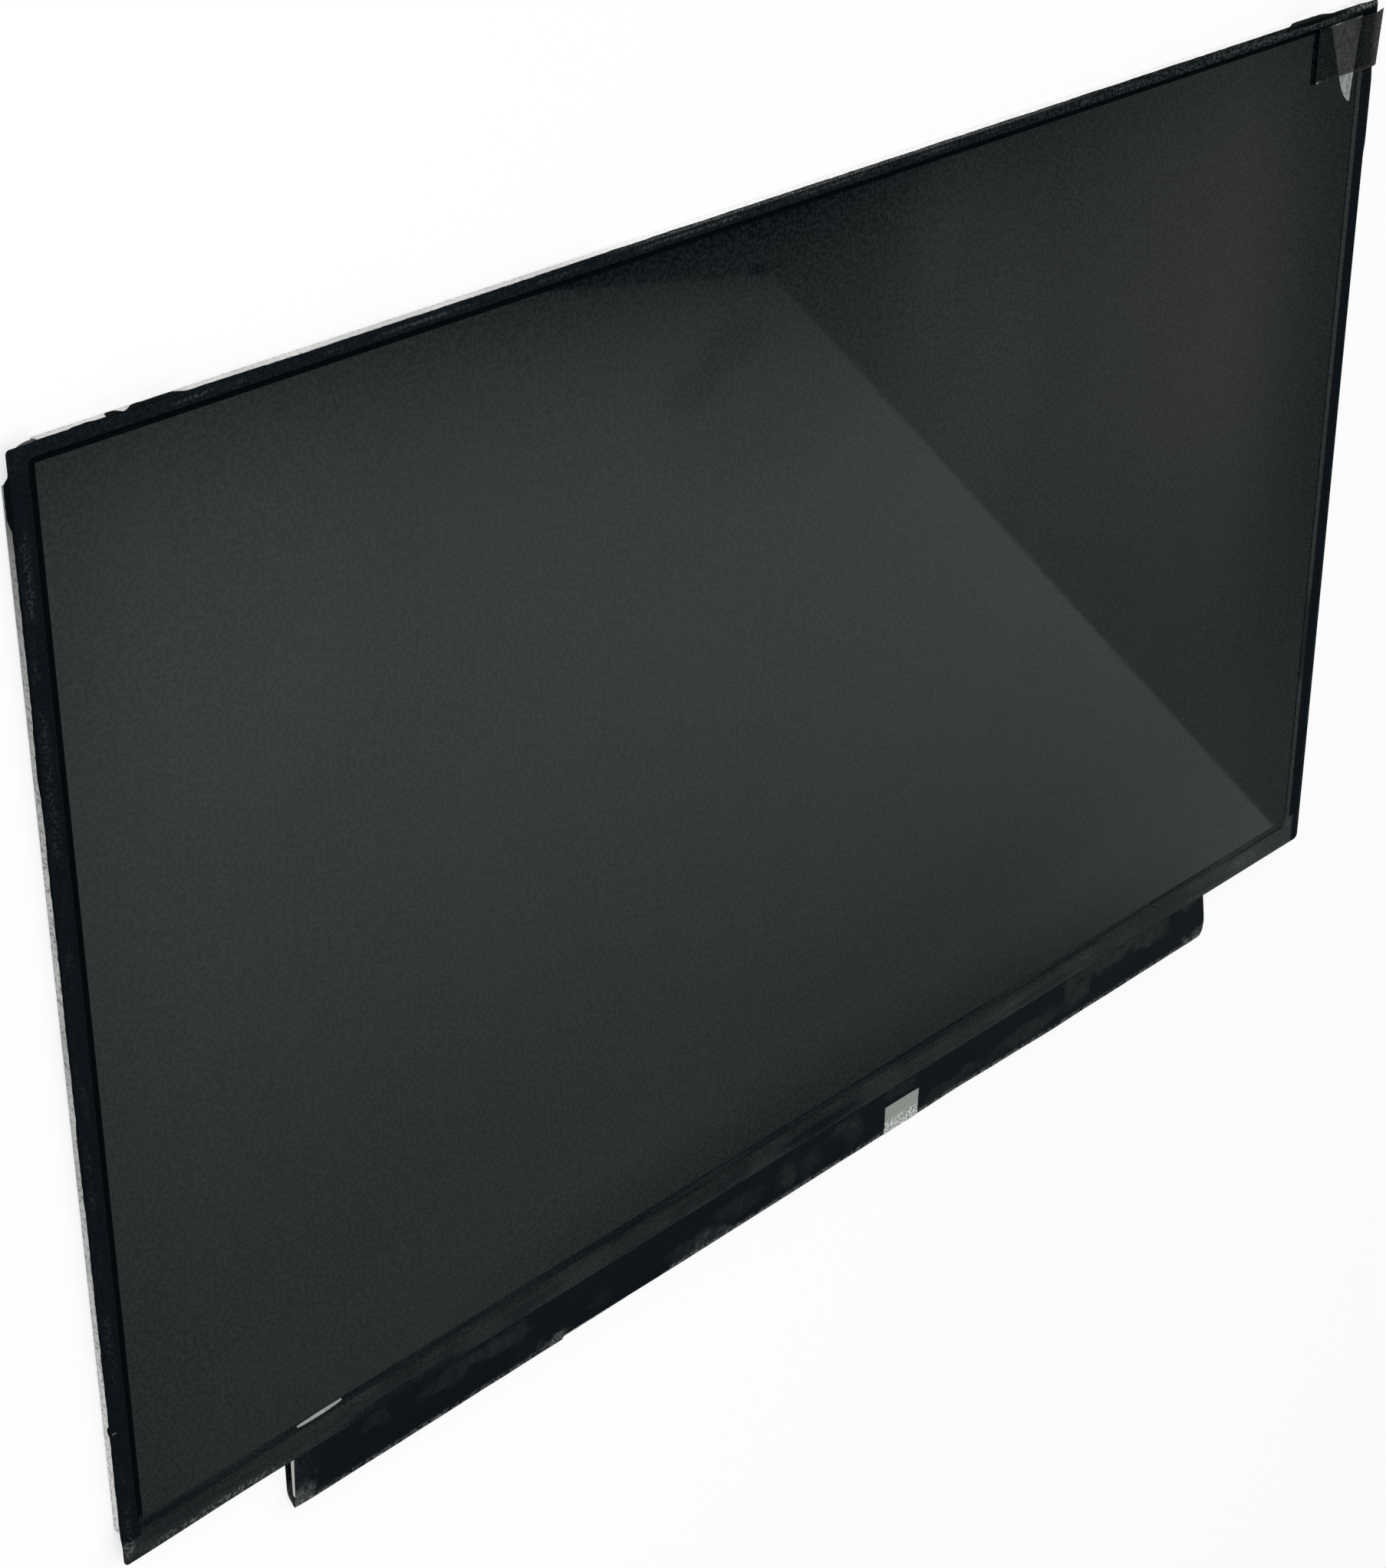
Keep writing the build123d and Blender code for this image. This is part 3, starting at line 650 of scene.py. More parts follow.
@dataclass(frozen=True)
class CoverFinish(Finish):
    """Thin black sheet with smudges and painted sheen, rubbed pale along its lower fold, with painted sheen
    in dots at its left end and in a few patches.
    """

    left_edge: float
    lower_edge: float
    black: Colour = (0.002, 0.0041, 0.0068)
    # The smear colour serves smudges and painted sheen; the rim colour serves the rubbed fold and painted
    # sheen patches.
    smear: Colour = (0.02, 0.025, 0.0238)
    rim: Colour = (0.17, 0.18, 0.172)
    smudge_sheens: tuple[Mark, ...] = (
        Mark(-120.5, -103.8, 5.0, 2.6, 0.3), Mark(-103.0, -104.2, 9.0, 2.8, 0.4),
        Mark(-89.7, -104.7, 11.0, 2.8, 0.55), Mark(-62.0, -108.6, 6.0, 2.4, 0.18),
        Mark(-35.0, -109.7, 10.0, 2.4, 0.5), Mark(-21.3, -106.4, 8.0, 3.2, 0.35),
        Mark(-8.0, -106.8, 5.5, 4.6, 0.6), Mark(1.0, -107.0, 4.5, 4.6, 0.3),
        Mark(10.8, -103.7, 6.0, 1.8, 0.5), Mark(13.0, -107.0, 6.5, 4.0, 0.3),
        Mark(27.7, -102.4, 6.0, 2.0, 0.35), Mark(48.0, -109.8, 13.0, 2.6, 0.45),
        Mark(71.5, -108.8, 16.0, 3.0, 0.55), Mark(89.5, -105.5, 6.5, 4.8, 0.7),
        Mark(103.0, -102.2, 14.0, 2.9, 0.95), Mark(118.0, -103.2, 9.0, 3.9, 0.9),
        Mark(131.0, -101.5, 7.5, 1.3, 0.7))
    sheens: tuple[Mark, ...] = (Mark(-136.8, -110.2, 4.6, 4.0, 0.5), Mark(-74.4, -111.0, 5.0, 1.7, 0.45),
                                Mark(136.4, -110.8, 5.5, 1.9, 0.5), Mark(-30.0, -110.8, 6.0, 1.6, 0.2))
    bend_x: Texture = Texture(6.0, detail=3.0)
    bend_y: Texture = Texture(5.0, detail=3.0, stretch=(0.8, 1.0, 1.0))
    bend_reach: Span = (15.0, 7.0)
    drift: Texture = Texture(9.0, (0.5, 0.8), 4.0, (0.6, 1.0, 1.0))
    cloud: Texture = Texture(2.6, (0.28, 0.66), 4.0, (1.2, 0.6, 1.0))
    grain: Texture = Texture(0.5, (0.36, 0.64))
    dots: Texture = Texture(0.45, (0.5, 0.6), 1.0)
    rim_patches: Texture = Texture(1.2, (0.34, 0.6))
    waves: Texture = Texture(5.0, detail=2.0, stretch=(0.4, 1.0, 1.0))
    end_reach: Span = (4.8, 0.4)
    rim_height: Span = (1.7, 0.4)
    lifted: Reach = (-72.2, -71.8, 40.0, 90.0)
    lifted_by: float = 0.5
    bare: Reach = (-72.2, -71.8, -45.0, -42.0)
    smear_clouds: Span = (0.55, 1.15)
    smear_grain: Span = (0.5, 1.15)
    drift_share: float = 0.08
    end_share: float = 0.6
    rim_share: float = 0.8
    sheen_clouds: Span = (0.3, 1.0)
    rim_sheen_grain: Span = (0.25, 1.0)
    rough: float = 0.3
    drift_rough: float = 0.12
    grain_rough: float = 0.1
    rim_rough: float = 0.2
    specular: float = 0.06
    relief: float = 0.003
    wave_gain: float = 4.0

    def paint(self, shader: Shader) -> None:
        """Lays on soft smudges and painted sheen that the noise bends, painted sheen in dots at the left end
        and a grainy rim at the lower fold.

        Args:
            shader: Builder of the material's nodes.
        """
        x, y, _ = shader.axes()
        bent_x = x + self.bend_x.raw(shader).swing(self.bend_reach[0])
        bent_y = y + self.bend_y.raw(shader).swing(self.bend_reach[1])
        drift, cloud, grain = (texture.mask(shader) for texture in (self.drift, self.cloud, self.grain))
        # Painted sheen in dots near the left end.
        end = (x - self.left_edge).step(*self.end_reach) * self.dots.mask(shader)
        edge = y - self.lower_edge - self.lifted_by * x.within(*self.lifted)
        rim = edge.step(*self.rim_height) * self.rim_patches.mask(shader) * (1.0 - x.within(*self.bare))
        # Smudges with painted sheen.
        smear = marked(self.smudge_sheens, bent_x, bent_y) * cloud.between(*self.smear_clouds)
        smear = (smear + self.drift_share * drift + self.end_share * end) * grain.between(*self.smear_grain)
        colour = shader.mix(smear.least(1.0), self.black, self.smear)
        # Painted sheen patches; with the rubbed rim they take the pale rim colour.
        sheen = marked(self.sheens, bent_x, bent_y) * cloud.between(*self.sheen_clouds)
        worn = (self.rim_share * rim + sheen) * grain.between(*self.rim_sheen_grain)
        colour = shader.mix(worn.least(1.0), colour, self.rim)
        rough = self.rough + self.drift_rough * drift + grain.swing(self.grain_rough) + self.rim_rough * rim
        look = {"Base Color": colour, "Roughness": rough, "Specular IOR Level": self.specular}
        shader.surface(look, grain + self.wave_gain * self.waves.raw(shader), self.relief)


@dataclass(frozen=True)
class MetalFinish(Finish):
    """Rolled sheet metal with fine lines along X, stains and scratches: dull left wall, top wall made bright
    by a painted highlight.
    """

    area: Rect
    bright: Colour = (0.52, 0.53, 0.52)
    dull: Colour = (0.3, 0.31, 0.305)
    stain: Colour = (0.1, 0.1, 0.1)
    near_white: Colour = (0.98, 0.98, 0.97)
    grime: Colour = (0.1, 0.105, 0.1)
    lines: Texture = Texture(1.0, detail=3.0, stretch=(0.02, 6.0, 6.0))
    scratches: Texture = Texture(1.5, (0.68, 0.74), 2.0, (0.15, 5.0, 5.0))
    cloud: Texture = Texture(14.0, (0.35, 0.65))
    spots: Texture = Texture(0.7, (0.48, 0.66), 5.0)
    flecks: Texture = Texture(0.5, (0.5, 0.62), 3.0)
    wall_depth: Span = (0.6, 0.3)
    top_highlight: Profile = Profile(0.45, (Rise(0.55, -72.0, -44.0),))
    left_whitening: Profile = Profile(0.12, (Rise(0.4, -25.0, -85.0),))
    left_grime: Profile = Profile(0.2, (Rise(0.25, 20.0, 55.0), Rise(0.5, 62.0, 84.0)))
    grime_cut: Span = (0.4, 0.6)
    grime_level: Span = (0.6, 1.0)
    fleck_end: Span = (-50.0, -75.0)
    fleck_rims: Profile = Profile(0.0, (Rise(1.0, 1.7, 2.4), Rise(1.0, 1.1, 0.7)))
    top_spots: Span = (1.0, 0.2)
    stain_share: float = 0.75
    rough: float = 0.38
    line_rough: float = 0.16
    cloud_rough: float = 0.16
    scratch_gloss: float = 0.1
    scratch_depth: float = 0.6
    relief: float = 0.002

    def paint(self, shader: Shader) -> None:
        """Puts lines and scratches in the gloss, and stains and the top wall's painted highlight in the
        colour, and tells the walls by their place.

        Args:
            shader: Builder of the material's nodes.
        """
        x, y, z = shader.axes()
        lines, cloud = self.lines.raw(shader), self.cloud.raw(shader)
        scratches = self.scratches.mask(shader)
        upper = (self.area.top - y).step(*self.wall_depth)
        left = (x - self.area.left).step(*self.wall_depth)
        colour = shader.mix(cloud.step(*self.cloud.cut), self.dull, self.bright)
        # The top wall is whitened as a painted highlight; the left wall grows whiter towards its bottom.
        whitened = upper * self.top_highlight.along(x) + left * self.left_whitening.along(y)
        colour = shader.mix(whitened, colour, self.near_white)
        soiled = left * self.left_grime.along(y) * cloud.step(*self.grime_cut).between(*self.grime_level)
        colour = shader.mix(soiled, colour, self.grime)
        rims = (left + upper * x.step(*self.fleck_end)) * self.fleck_rims.along(z) * self.flecks.mask(shader)
        spots = self.spots.mask(shader) * upper.between(*self.top_spots)
        colour = shader.mix(spots.most(rims) * self.stain_share, colour, self.stain)
        rough = self.rough + lines.swing(self.line_rough) + cloud.swing(self.cloud_rough)
        look = {"Base Color": colour, "Roughness": rough - self.scratch_gloss * scratches, "Metallic": 1.0}
        shader.surface(look, lines - self.scratch_depth * scratches, self.relief)


@dataclass(frozen=True)
class BoardFinish(Finish):
    """Circuit board: lacquered faces with faint tracks, and a pale fibre core on its cut edges."""

    lacquer: Colour = (0.012, 0.05, 0.024)
    track: Colour = (0.03, 0.11, 0.05)
    core: Colour = (0.72, 0.72, 0.66)
    core_shade: float = 0.7
    tracks: Texture = Texture(1.1, (0.5, 0.53), 1.0, (0.2, 1.5, 1.0))
    fibre: Texture = Texture(0.25, detail=3.0)
    rough: Span = (0.75, 0.33)
    fibre_rough: float = 0.1
    relief: float = 0.012

    def paint(self, shader: Shader) -> None:
        """Tells faces and edges apart by the surface's normal.

        Args:
            shader: Builder of the material's nodes.
        """
        face = abs(shader.facing()[2]).step(*FACE_CUT)
        tracks, fibre = self.tracks.mask(shader), self.fibre.raw(shader)
        lacquered = shader.mix(tracks, self.lacquer, self.track)
        cut = shader.mix(fibre, tuple(part * self.core_shade for part in self.core), self.core)
        rough = face.between(*self.rough) + fibre.swing(self.fibre_rough)
        look = {"Base Color": shader.mix(face, cut, lacquered), "Roughness": rough}
        shader.surface(look, tracks + fibre, self.relief)


@dataclass(frozen=True)
class CapacitorFinish(Finish):
    """Tan ceramic with tinned ends."""

    ceramic: Colour = (0.45, 0.33, 0.22)
    tin: Colour = (0.6, 0.6, 0.59)
    grain: Texture = Texture(0.15, detail=3.0)
    rough: Span = (0.5, 0.35)
    grain_rough: float = 0.2
    relief: float = 0.006

    def paint(self, shader: Shader) -> None:
        """Tells the ends by the surface's normal.

        Args:
            shader: Builder of the material's nodes.
        """
        end = abs(shader.facing()[0]).step(*FACE_CUT)
        grain = self.grain.raw(shader)
        rough = end.between(*self.rough) + grain.swing(self.grain_rough)
        look = {"Base Color": shader.mix(end, self.ceramic, self.tin), "Metallic": end, "Roughness": rough}
        shader.surface(look, grain, self.relief)


@dataclass(frozen=True)
class StickerFinish(Finish):
    """Bare grey sticker, its lower half rubbed and crumpled to mottled white."""

    worn_reach: Span
    paper: Colour = (0.25, 0.27, 0.25)
    worn: Colour = (0.62, 0.64, 0.62)
    soiled: Colour = (0.08, 0.09, 0.085)
    bend: Texture = Texture(1.6, detail=3.0)
    bend_reach: float = 2.2
    crumple: Texture = Texture(0.55, (0.42, 0.6), 3.0)
    soil_cut: Span = (0.46, 0.36)
    soil_share: float = 0.7
    rough: float = 0.55
    crumple_rough: float = 0.3
    relief: float = 0.06
    flat_relief: float = 0.2

    def paint(self, shader: Shader) -> None:
        """Lets the wear grow towards the fold.

        Args:
            shader: Builder of the material's nodes.
        """
        y = shader.axes()[1]
        wear = (y + self.bend.raw(shader).swing(self.bend_reach)).step(*self.worn_reach)
        crumple = self.crumple.raw(shader)
        colour = shader.mix(wear * crumple.step(*self.crumple.cut), self.paper, self.worn)
        colour = shader.mix(wear * crumple.step(*self.soil_cut) * self.soil_share, colour, self.soiled)
        look = {"Base Color": colour, "Roughness": self.rough + crumple.swing(self.crumple_rough)}
        shader.surface(look, crumple * (self.flat_relief + wear), self.relief)


@dataclass(frozen=True)
class SmokyFinish(Finish):
    """Dark see-through tape with grainy glue and a brown overhang. Its left edge is painted black as painted
    shadow, its lower edge carries a painted highlight, its lower left corner a painted glint and its top a
    frayed rim.
    """

    edge: float
    area: Rect
    smoke: Colour = (0.0012, 0.0022, 0.0034)
    glue: Colour = (0.03, 0.034, 0.0335)
    # Brown serves the overhang and a painted highlight along the lower edge; the pale colour after it serves
    # a painted glint at the lower left corner and the frayed top rim.
    brown: Colour = (0.07, 0.062, 0.056)
    glint_and_fray: Colour = (0.42, 0.44, 0.43)
    grain: Texture = Texture(0.6, (0.4, 0.64))
    patches: Texture = Texture(2.6, (0.4, 0.7), 3.0)
    band: Span = (1.15, 0.75)
    beyond: Span = (-1.6, 0.6)
    brown_from: float = 2.2
    brown_full: float = 0.8
    low_rim: Span = (0.9, 0.1)
    low_highlight: float = 0.55
    glint_corner: Span = (3.2, 1.6)
    high_rim: Span = (0.5, 0.1)
    high_reach: Reach = (159.5, 160.5, 163.0, 166.5)
    glue_patches: Span = (0.45, 1.0)
    glue_beyond: Span = (1.0, 0.5)
    brown_grain: Span = (0.4, 1.0)
    cover: Span = (0.34, 0.985)
    grain_cover: float = 0.14
    rough: float = 0.34
    patch_rough: float = 0.15
    grain_rough: float = 0.1
    specular: float = 0.06
    relief: float = 0.003
    patch_gain: float = 2.0

    def paint(self, shader: Shader) -> None:
        """Lets glue grains lighten the tape, and no light through beyond the screen and at its left edge,
        which is painted shadow.

        Args:
            shader: Builder of the material's nodes.
        """
        x, y, _ = shader.axes()
        area = self.area
        grain, patches = self.grain.mask(shader), self.patches.mask(shader)
        # Painted shadow: the left edge is black and lets no light through.
        band = (x - area.left).step(*self.band)
        beyond = (x - self.edge).step(*self.beyond)
        outer = x.step(self.edge + self.brown_from, area.right - self.brown_full)
        # Painted highlight along the lower edge.
        low = (y - area.bottom).step(*self.low_rim)
        # Painted glint at the lower left corner.
        corner = (x - area.left).step(*self.glint_corner) * low * (1.0 - band)
        high = (area.top - y).step(*self.high_rim) * x.within(*self.high_reach)
        glued = grain * patches.between(*self.glue_patches) * beyond.between(*self.glue_beyond)
        colour = shader.mix(glued, self.smoke, self.glue)
        # Brown overhang, with the painted highlight along the lower edge.
        brown_and_highlight = (outer + self.low_highlight * low).least(1.0) * grain.between(*self.brown_grain)
        colour = shader.mix(brown_and_highlight, colour, self.brown)
        # Painted glint at the lower left corner and the frayed top rim.
        colour = shader.mix(corner.most(high) * grain, colour, self.glint_and_fray)
        dense = beyond.most(band)
        look = {
            # The left edge band is painted shadow.
            "Base Color": shader.mix(band, colour, self.smoke),
            "Roughness": self.rough + self.patch_rough * patches + grain.swing(self.grain_rough),
            "Alpha": dense.between(*self.cover) + self.grain_cover * grain * (1.0 - dense),
            "Specular IOR Level": self.specular,
        }
        shader.surface(look, grain + self.patch_gain * patches, self.relief)


@dataclass(frozen=True)
class Station:
    """A place along a ring: a share of a straight side, or a turn round the corner after it."""

    side: Side
    share: float
    turn: float

    @property
    def out(self) -> Vector:
        """The outward direction there."""
        angle = self.side.out + self.turn
        return Vector((math.cos(angle), math.sin(angle), 0.0))


@dataclass(frozen=True)
class Loop:
    """A rounded rectangle in plan, with its own radius at the lower right."""

    rect: Rect
    radius: float
    low_right: float

    def grown(self, by: float) -> "Loop":
        """The loop moved out."""
        return Loop(self.rect.grown(by), self.radius + by, self.low_right + by)

    def toward(self, other: "Loop", share: float) -> "Loop":
        """A loop between this one and another.

        Args:
            other: The other loop.
            share: How far it lies on the way to the other.

        Returns:
            The loop.
        """
        radius = self.radius + share * (other.radius - self.radius)
        low_right = self.low_right + share * (other.low_right - self.low_right)
        return Loop(self.rect.toward(other.rect, share), radius, low_right)

    def corner_end(self, side: Side, out: Vector) -> Vector:
        """The point of the corner after a side that lies in this direction from the corner's middle."""
        radius = self.low_right if side is Side.BOTTOM else self.radius
        return self.rect.corner(side, radius) + radius * out

    def at(self, station: Station, height: float) -> Vector:
        """A point of the loop.

        Args:
            station: The place along the ring.
            height: The point's height.

        Returns:
            The point.
        """
        end = self.corner_end(station.side, station.out)
        if station.turn == 0.0:
            before = Side((station.side.value - 1) % len(Side))
            end = self.corner_end(before, station.out).lerp(end, station.share)
        return end + Vector((0.0, 0.0, height))


def ring_stations(width: float, height: float, pitch: float, corner_steps: int) -> list[Station]:
    """Stations all round a rounded rectangle.

    Args:
        width: Length of the sides along X.
        height: Length of the sides along Y.
        pitch: Distance between stations on the straight sides.
        corner_steps: Steps round each corner.

    Returns:
        The stations in order.
    """
    stations = []
    for side in Side:
        length = width if side in (Side.BOTTOM, Side.TOP) else height
        count = round(length / pitch)
        stations += [Station(side, i / count, 0.0) for i in range(count)]
        stations += [Station(side, 1.0, QUARTER * i / corner_steps) for i in range(corner_steps)]
    return stations


def cad_rect(node: str) -> Rect:
    """A node's box in plan."""
    low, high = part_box(node)
    return Rect(low.x / MM, high.x / MM, low.y / MM, high.y / MM)


def cad_top(node: str) -> float:
    """Height of a node's top."""
    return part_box(node)[1].z / MM


def cad_low(node: str) -> float:
    """Height of a node's underside."""
    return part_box(node)[0].z / MM


def ramp(place: float, start: float, end: float) -> float:
    """A smooth step from 0 at start to 1 at end, which may lie below start."""
    share = min(1.0, max(0.0, (place - start) / (end - start)))
    return share * share * (3.0 - 2.0 * share)


@dataclass(frozen=True)
class Ripple:
    """Smooth unevenness of a sheet: the length of its bumps, their height and a seed."""

    length: float
    height: float
    seed: float

    def at(self, x: float, y: float, shift: float = 0.0) -> float:
        """The unevenness at a place, to both sides of 0, with the seed shifted."""
        return self.height * noise.noise(Vector((x / self.length, y / self.length, self.seed + shift)))

    def above(self, x: float, y: float) -> float:
        """The same unevenness, raised so that it is never below 0."""
        return self.height + self.at(x, y)


def sheet_faces(point: Callable[[float, float, float], Vector], along: int, across: int,
                outs: Span) -> list[Grid]:
    """Both faces of a sheet.

    Args:
        point: Gives a point from the shares along and across the sheet and the distance outside it.
        along: Steps along the sheet.
        across: Steps across it.
        outs: That distance for the outer and the inner face.

    Returns:
        The grids of the outer and the inner face.
    """
    return [[[point(i / along, j / across, out) for j in range(across + 1)] for i in range(along + 1)]
            for out in outs]


def sheet_piece(name: str, outer: Grid, inner: Grid, ring: bool = False) -> bpy.types.Object:
    """A closed piece between the two faces of a sheet.

    Args:
        name: The piece's name.
        outer: Points of the outer face, by station and then across.
        inner: Points of the inner face, in the same order.
        ring: Whether the last station joins the first.

    Returns:
        The new object.
    """
    count, across = len(outer), len(outer[0])
    points = [point * MM for face in (outer, inner) for row in face for point in row]
    back = count * across
    last = across - 1
    faces = []
    for i in range(count if ring else count - 1):
        a, b = i * across, (i + 1) % count * across
        for j in range(last):
            faces.append((a + j, b + j, b + j + 1, a + j + 1))
            faces.append((back + a + j, back + a + j + 1, back + b + j + 1, back + b + j))
        faces.append((a, back + a, back + b, b))
        faces.append((a + last, b + last, back + b + last, back + a + last))
    if not ring:
        end = (count - 1) * across
        for j in range(last):
            faces.append((j, j + 1, back + j + 1, back + j))
            faces.append((end + j, back + end + j, back + end + j + 1, end + j + 1))
    mesh = bpy.data.meshes.new(name)
    mesh.from_pydata(points, [], faces)
    mesh.validate()
    mesh.polygons.foreach_set("use_smooth", [True] * len(mesh.polygons))
    mesh.set_sharp_from_angle(angle=SHARP_EDGE)
    return linked(name, mesh)


def linked(name: str, data: bpy.types.ID) -> bpy.types.Object:
    """A new object in the scene.

    Args:
        name: The object's name.
        data: Its mesh, camera or light.

    Returns:
        The object.
    """
    made = bpy.data.objects.new(name, data)
    bpy.context.scene.collection.objects.link(made)
    return made


def settle(piece: bpy.types.Object, finish: Finish, slot: str, *nodes: str) -> None:
    """Dresses a piece, lets it ride on the panel and stand for its nodes.

    Args:
        piece: The piece.
        finish: What it wears.
        slot: The record's material slot of that finish; not used.
        nodes: The CAD nodes that it stands for.
    """
    finish.dress(piece)
    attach(piece, BODY)
    if nodes:
        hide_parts(*nodes)
    LOG.info("made %s with %d faces", piece.name, len(piece.data.polygons))


def dress_nodes(looks: dict[Finish, tuple[str, ...]]) -> None:
    """Dresses CAD nodes that keep their solids.

    Args:
        looks: The nodes that each finish goes on.
    """
    for finish, names in looks.items():
        finish.dress(*(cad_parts[name] for name in names))
        LOG.info("dressed %s in %s", ", ".join(names), finish.name)


@dataclass(frozen=True)
class Fold:
    """A place where the tape hangs lower over a wall, or where its edge stands out."""

    middle: float
    half_width: float
    extra: float
    full_share: float = 7.0 / 12.0

    def at(self, place: float) -> float:
        """How much further the tape reaches at a place along the wall."""
        return self.extra * ramp(abs(place - self.middle) / self.half_width, 1.0, self.full_share)


@dataclass
class BorderTape:
    """Black tape round the screen: a foot on the screen, a slope, a flat top and a ragged skirt."""

    sheet: float = 0.12
    lean: float = 0.6
    film_gap: float = 0.15
    lip_radius: float = 1.0
    lip_low_right: float = 2.6
    body_radius: float = 0.72
    body_low_right: float = 1.3
    pitch: float = 0.5
    corner_steps: int = 8
    shy: float = 0.01
    foot_sheet: float = 0.03
    foot_under: float = 0.8
    foot_left: float = 0.82
    foot_right: float = 0.03
    foot_bottom: float = 1.75
    foot_top: float = 0.6
    foot_radius: float = 0.3
    foot_points: int = 2
    brow: tuple[Span, ...] = ((-0.06, 0.09), (0.02, 0.02))
    slope_points: int = 3
    slope_growth: float = 0.3
    flat_from: float = 0.12
    flat_to: float = 0.2
    flat_steps: int = 8
    dents: Ripple = Ripple(6.0, 0.04, 3.0)
    hollow: float = 0.03
    skirt: float = 0.8
    skirt_points: int = 4
    corner_skirt: float = 0.47
    corner_reach: Span = (3.6, 6.0)
    rags: tuple[Ripple, ...] = (Ripple(9.0, 0.2, 0.0), Ripple(2.4, 0.12, 5.0), Ripple(1.1, 0.1, 9.0))
    top_folds: tuple[Fold, ...] = (Fold(-157.2, 1.4, 1.3), Fold(-149.6, 5.8, 1.35), Fold(-163.0, 2.6, 0.35),
                                   Fold(-98.0, 42.0, -0.32), Fold(152.5, 8.2, 1.25))
    left_folds: tuple[Fold, ...] = (Fold(-73.3, 1.0, 0.5), Fold(-20.0, 9.0, 0.2), Fold(52.0, 7.0, 0.25),
                                    Fold(93.5, 5.0, 1.1))
    edge_in: float = 0.06
    edge_drop: float = 0.05
    bend_drop: float = 0.16
    bend_share: float = 0.9
    press_share: float = 0.55
    skirt_in: float = 0.01
    press: Ripple = Ripple(5.0, 0.03, 8.0)
    right_bulge: Fold = Fold(77.5, 10.5, 0.35)
    right_creep: float = 0.7
    creep_reach: Span = (60.0, -100.0)
    corner_sag: float = 0.45
    corner_sag_reach: float = 30.0

    def build(self) -> None:
        """Makes the ring and dresses it."""
        film = cad_rect("protective_film")
        self.film = cad_top("protective_film")
        self.top = cad_top("border_tape")
        self.body = Loop(cad_rect("border_tape").grown(-self.shy), self.body_radius, self.body_low_right)
        self.lip = Loop(film.grown(self.film_gap).grown(self.lean), self.lip_radius, self.lip_low_right)
        inner = Rect(film.left + self.foot_left, film.right - self.foot_right,
                     film.bottom + self.foot_bottom, film.top - self.foot_top)
        self.foot = Loop(inner, self.foot_radius, self.foot_radius)
        area = self.body.rect
        width, height = area.right - area.left, area.top - area.bottom
        stations = ring_stations(width, height, self.pitch, self.corner_steps)
        outer = [self.outer_row(station) for station in stations]
        inner = [self.inner_row(station, row) for station, row in zip(stations, outer)]
        piece = sheet_piece("border_tape_ring", outer, inner, ring=True)
        finish = TapeFinish("black_tape", area, self.top, self.film + self.foot_sheet)
        settle(piece, finish, "black_tape", "border_tape")

    def hang(self, station: Station) -> float:
        """How far the skirt hangs below the top.

        Args:
            station: The place along the ring.

        Returns:
            The skirt's depth there.
        """
        if station.turn > 0.0:
            return self.corner_skirt
        area = self.body.rect
        place = self.body.at(station, 0.0)
        upright = station.side in (Side.LEFT, Side.RIGHT)
        along = place.y if upright else place.x
        start, end = (area.bottom, area.top) if upright else (area.left, area.right)
        hang = self.sheet if station.side is Side.BOTTOM else self.ragged(station.side, along)
        kept = ramp(min(along - start, end - along), *self.corner_reach)
        return self.corner_skirt + kept * (hang - self.corner_skirt)

    def ragged(self, side: Side, along: float) -> float:
        """Depth of the ragged skirt away from the corners.

        Args:
            side: The side that it hangs on.
            along: The place along that side.

        Returns:
            The depth.
        """
        rags = sum(rag.at(along, 0.0, float(side.value)) for rag in self.rags)
        folds = {Side.TOP: self.top_folds, Side.LEFT: self.left_folds}.get(side, ())
        return self.skirt + rags + sum(fold.at(along) for fold in folds)

    def push(self, point: Vector) -> Vector:
        """How far the outer edge has crept out: by the lower left corner and on the right side.

        Args:
            point: A point near the edge.

        Returns:
            The way that it has crept.
        """
        area = self.body.rect
        from_corner = math.hypot(point.x - area.left, point.y - area.bottom)
        down = self.corner_sag * ramp(from_corner, self.corner_sag_reach, 0.0)
        crept = self.right_bulge.at(point.y) + self.right_creep * ramp(point.y, *self.creep_reach)
        return Vector((crept * ramp(point.x, 0.0, area.right), -down, 0.0))

    def outer_row(self, station: Station) -> list[Vector]:
        """Points of the outer face from the foot on the screen to the skirt's edge.

        Args:
            station: The place along the ring.

        Returns:
            The points.
        """
        lip, top = self.lip, self.top
        low = self.film + self.foot_sheet
        row = [self.foot.at(station, low), lip.grown(-self.lean).at(station, low)]
        row.append(lip.grown(-0.5 * self.lean).at(station, 0.5 * (low + top)))
        row += [lip.grown(out).at(station, top - drop) for out, drop in self.brow]
        inside, outside = lip.grown(self.flat_from), self.body.grown(-self.flat_to)
        for step in range(self.flat_steps + 1):
            share = step / self.flat_steps
            point = inside.toward(outside, share).at(station, top)
            dip = abs(self.dents.at(point.x, point.y)) + self.hollow * math.sin(math.pi * share)
            row.append(point + share * share * self.push(point) - Vector((0.0, 0.0, dip)))
        return row + self.skirt_row(station, row[-1])

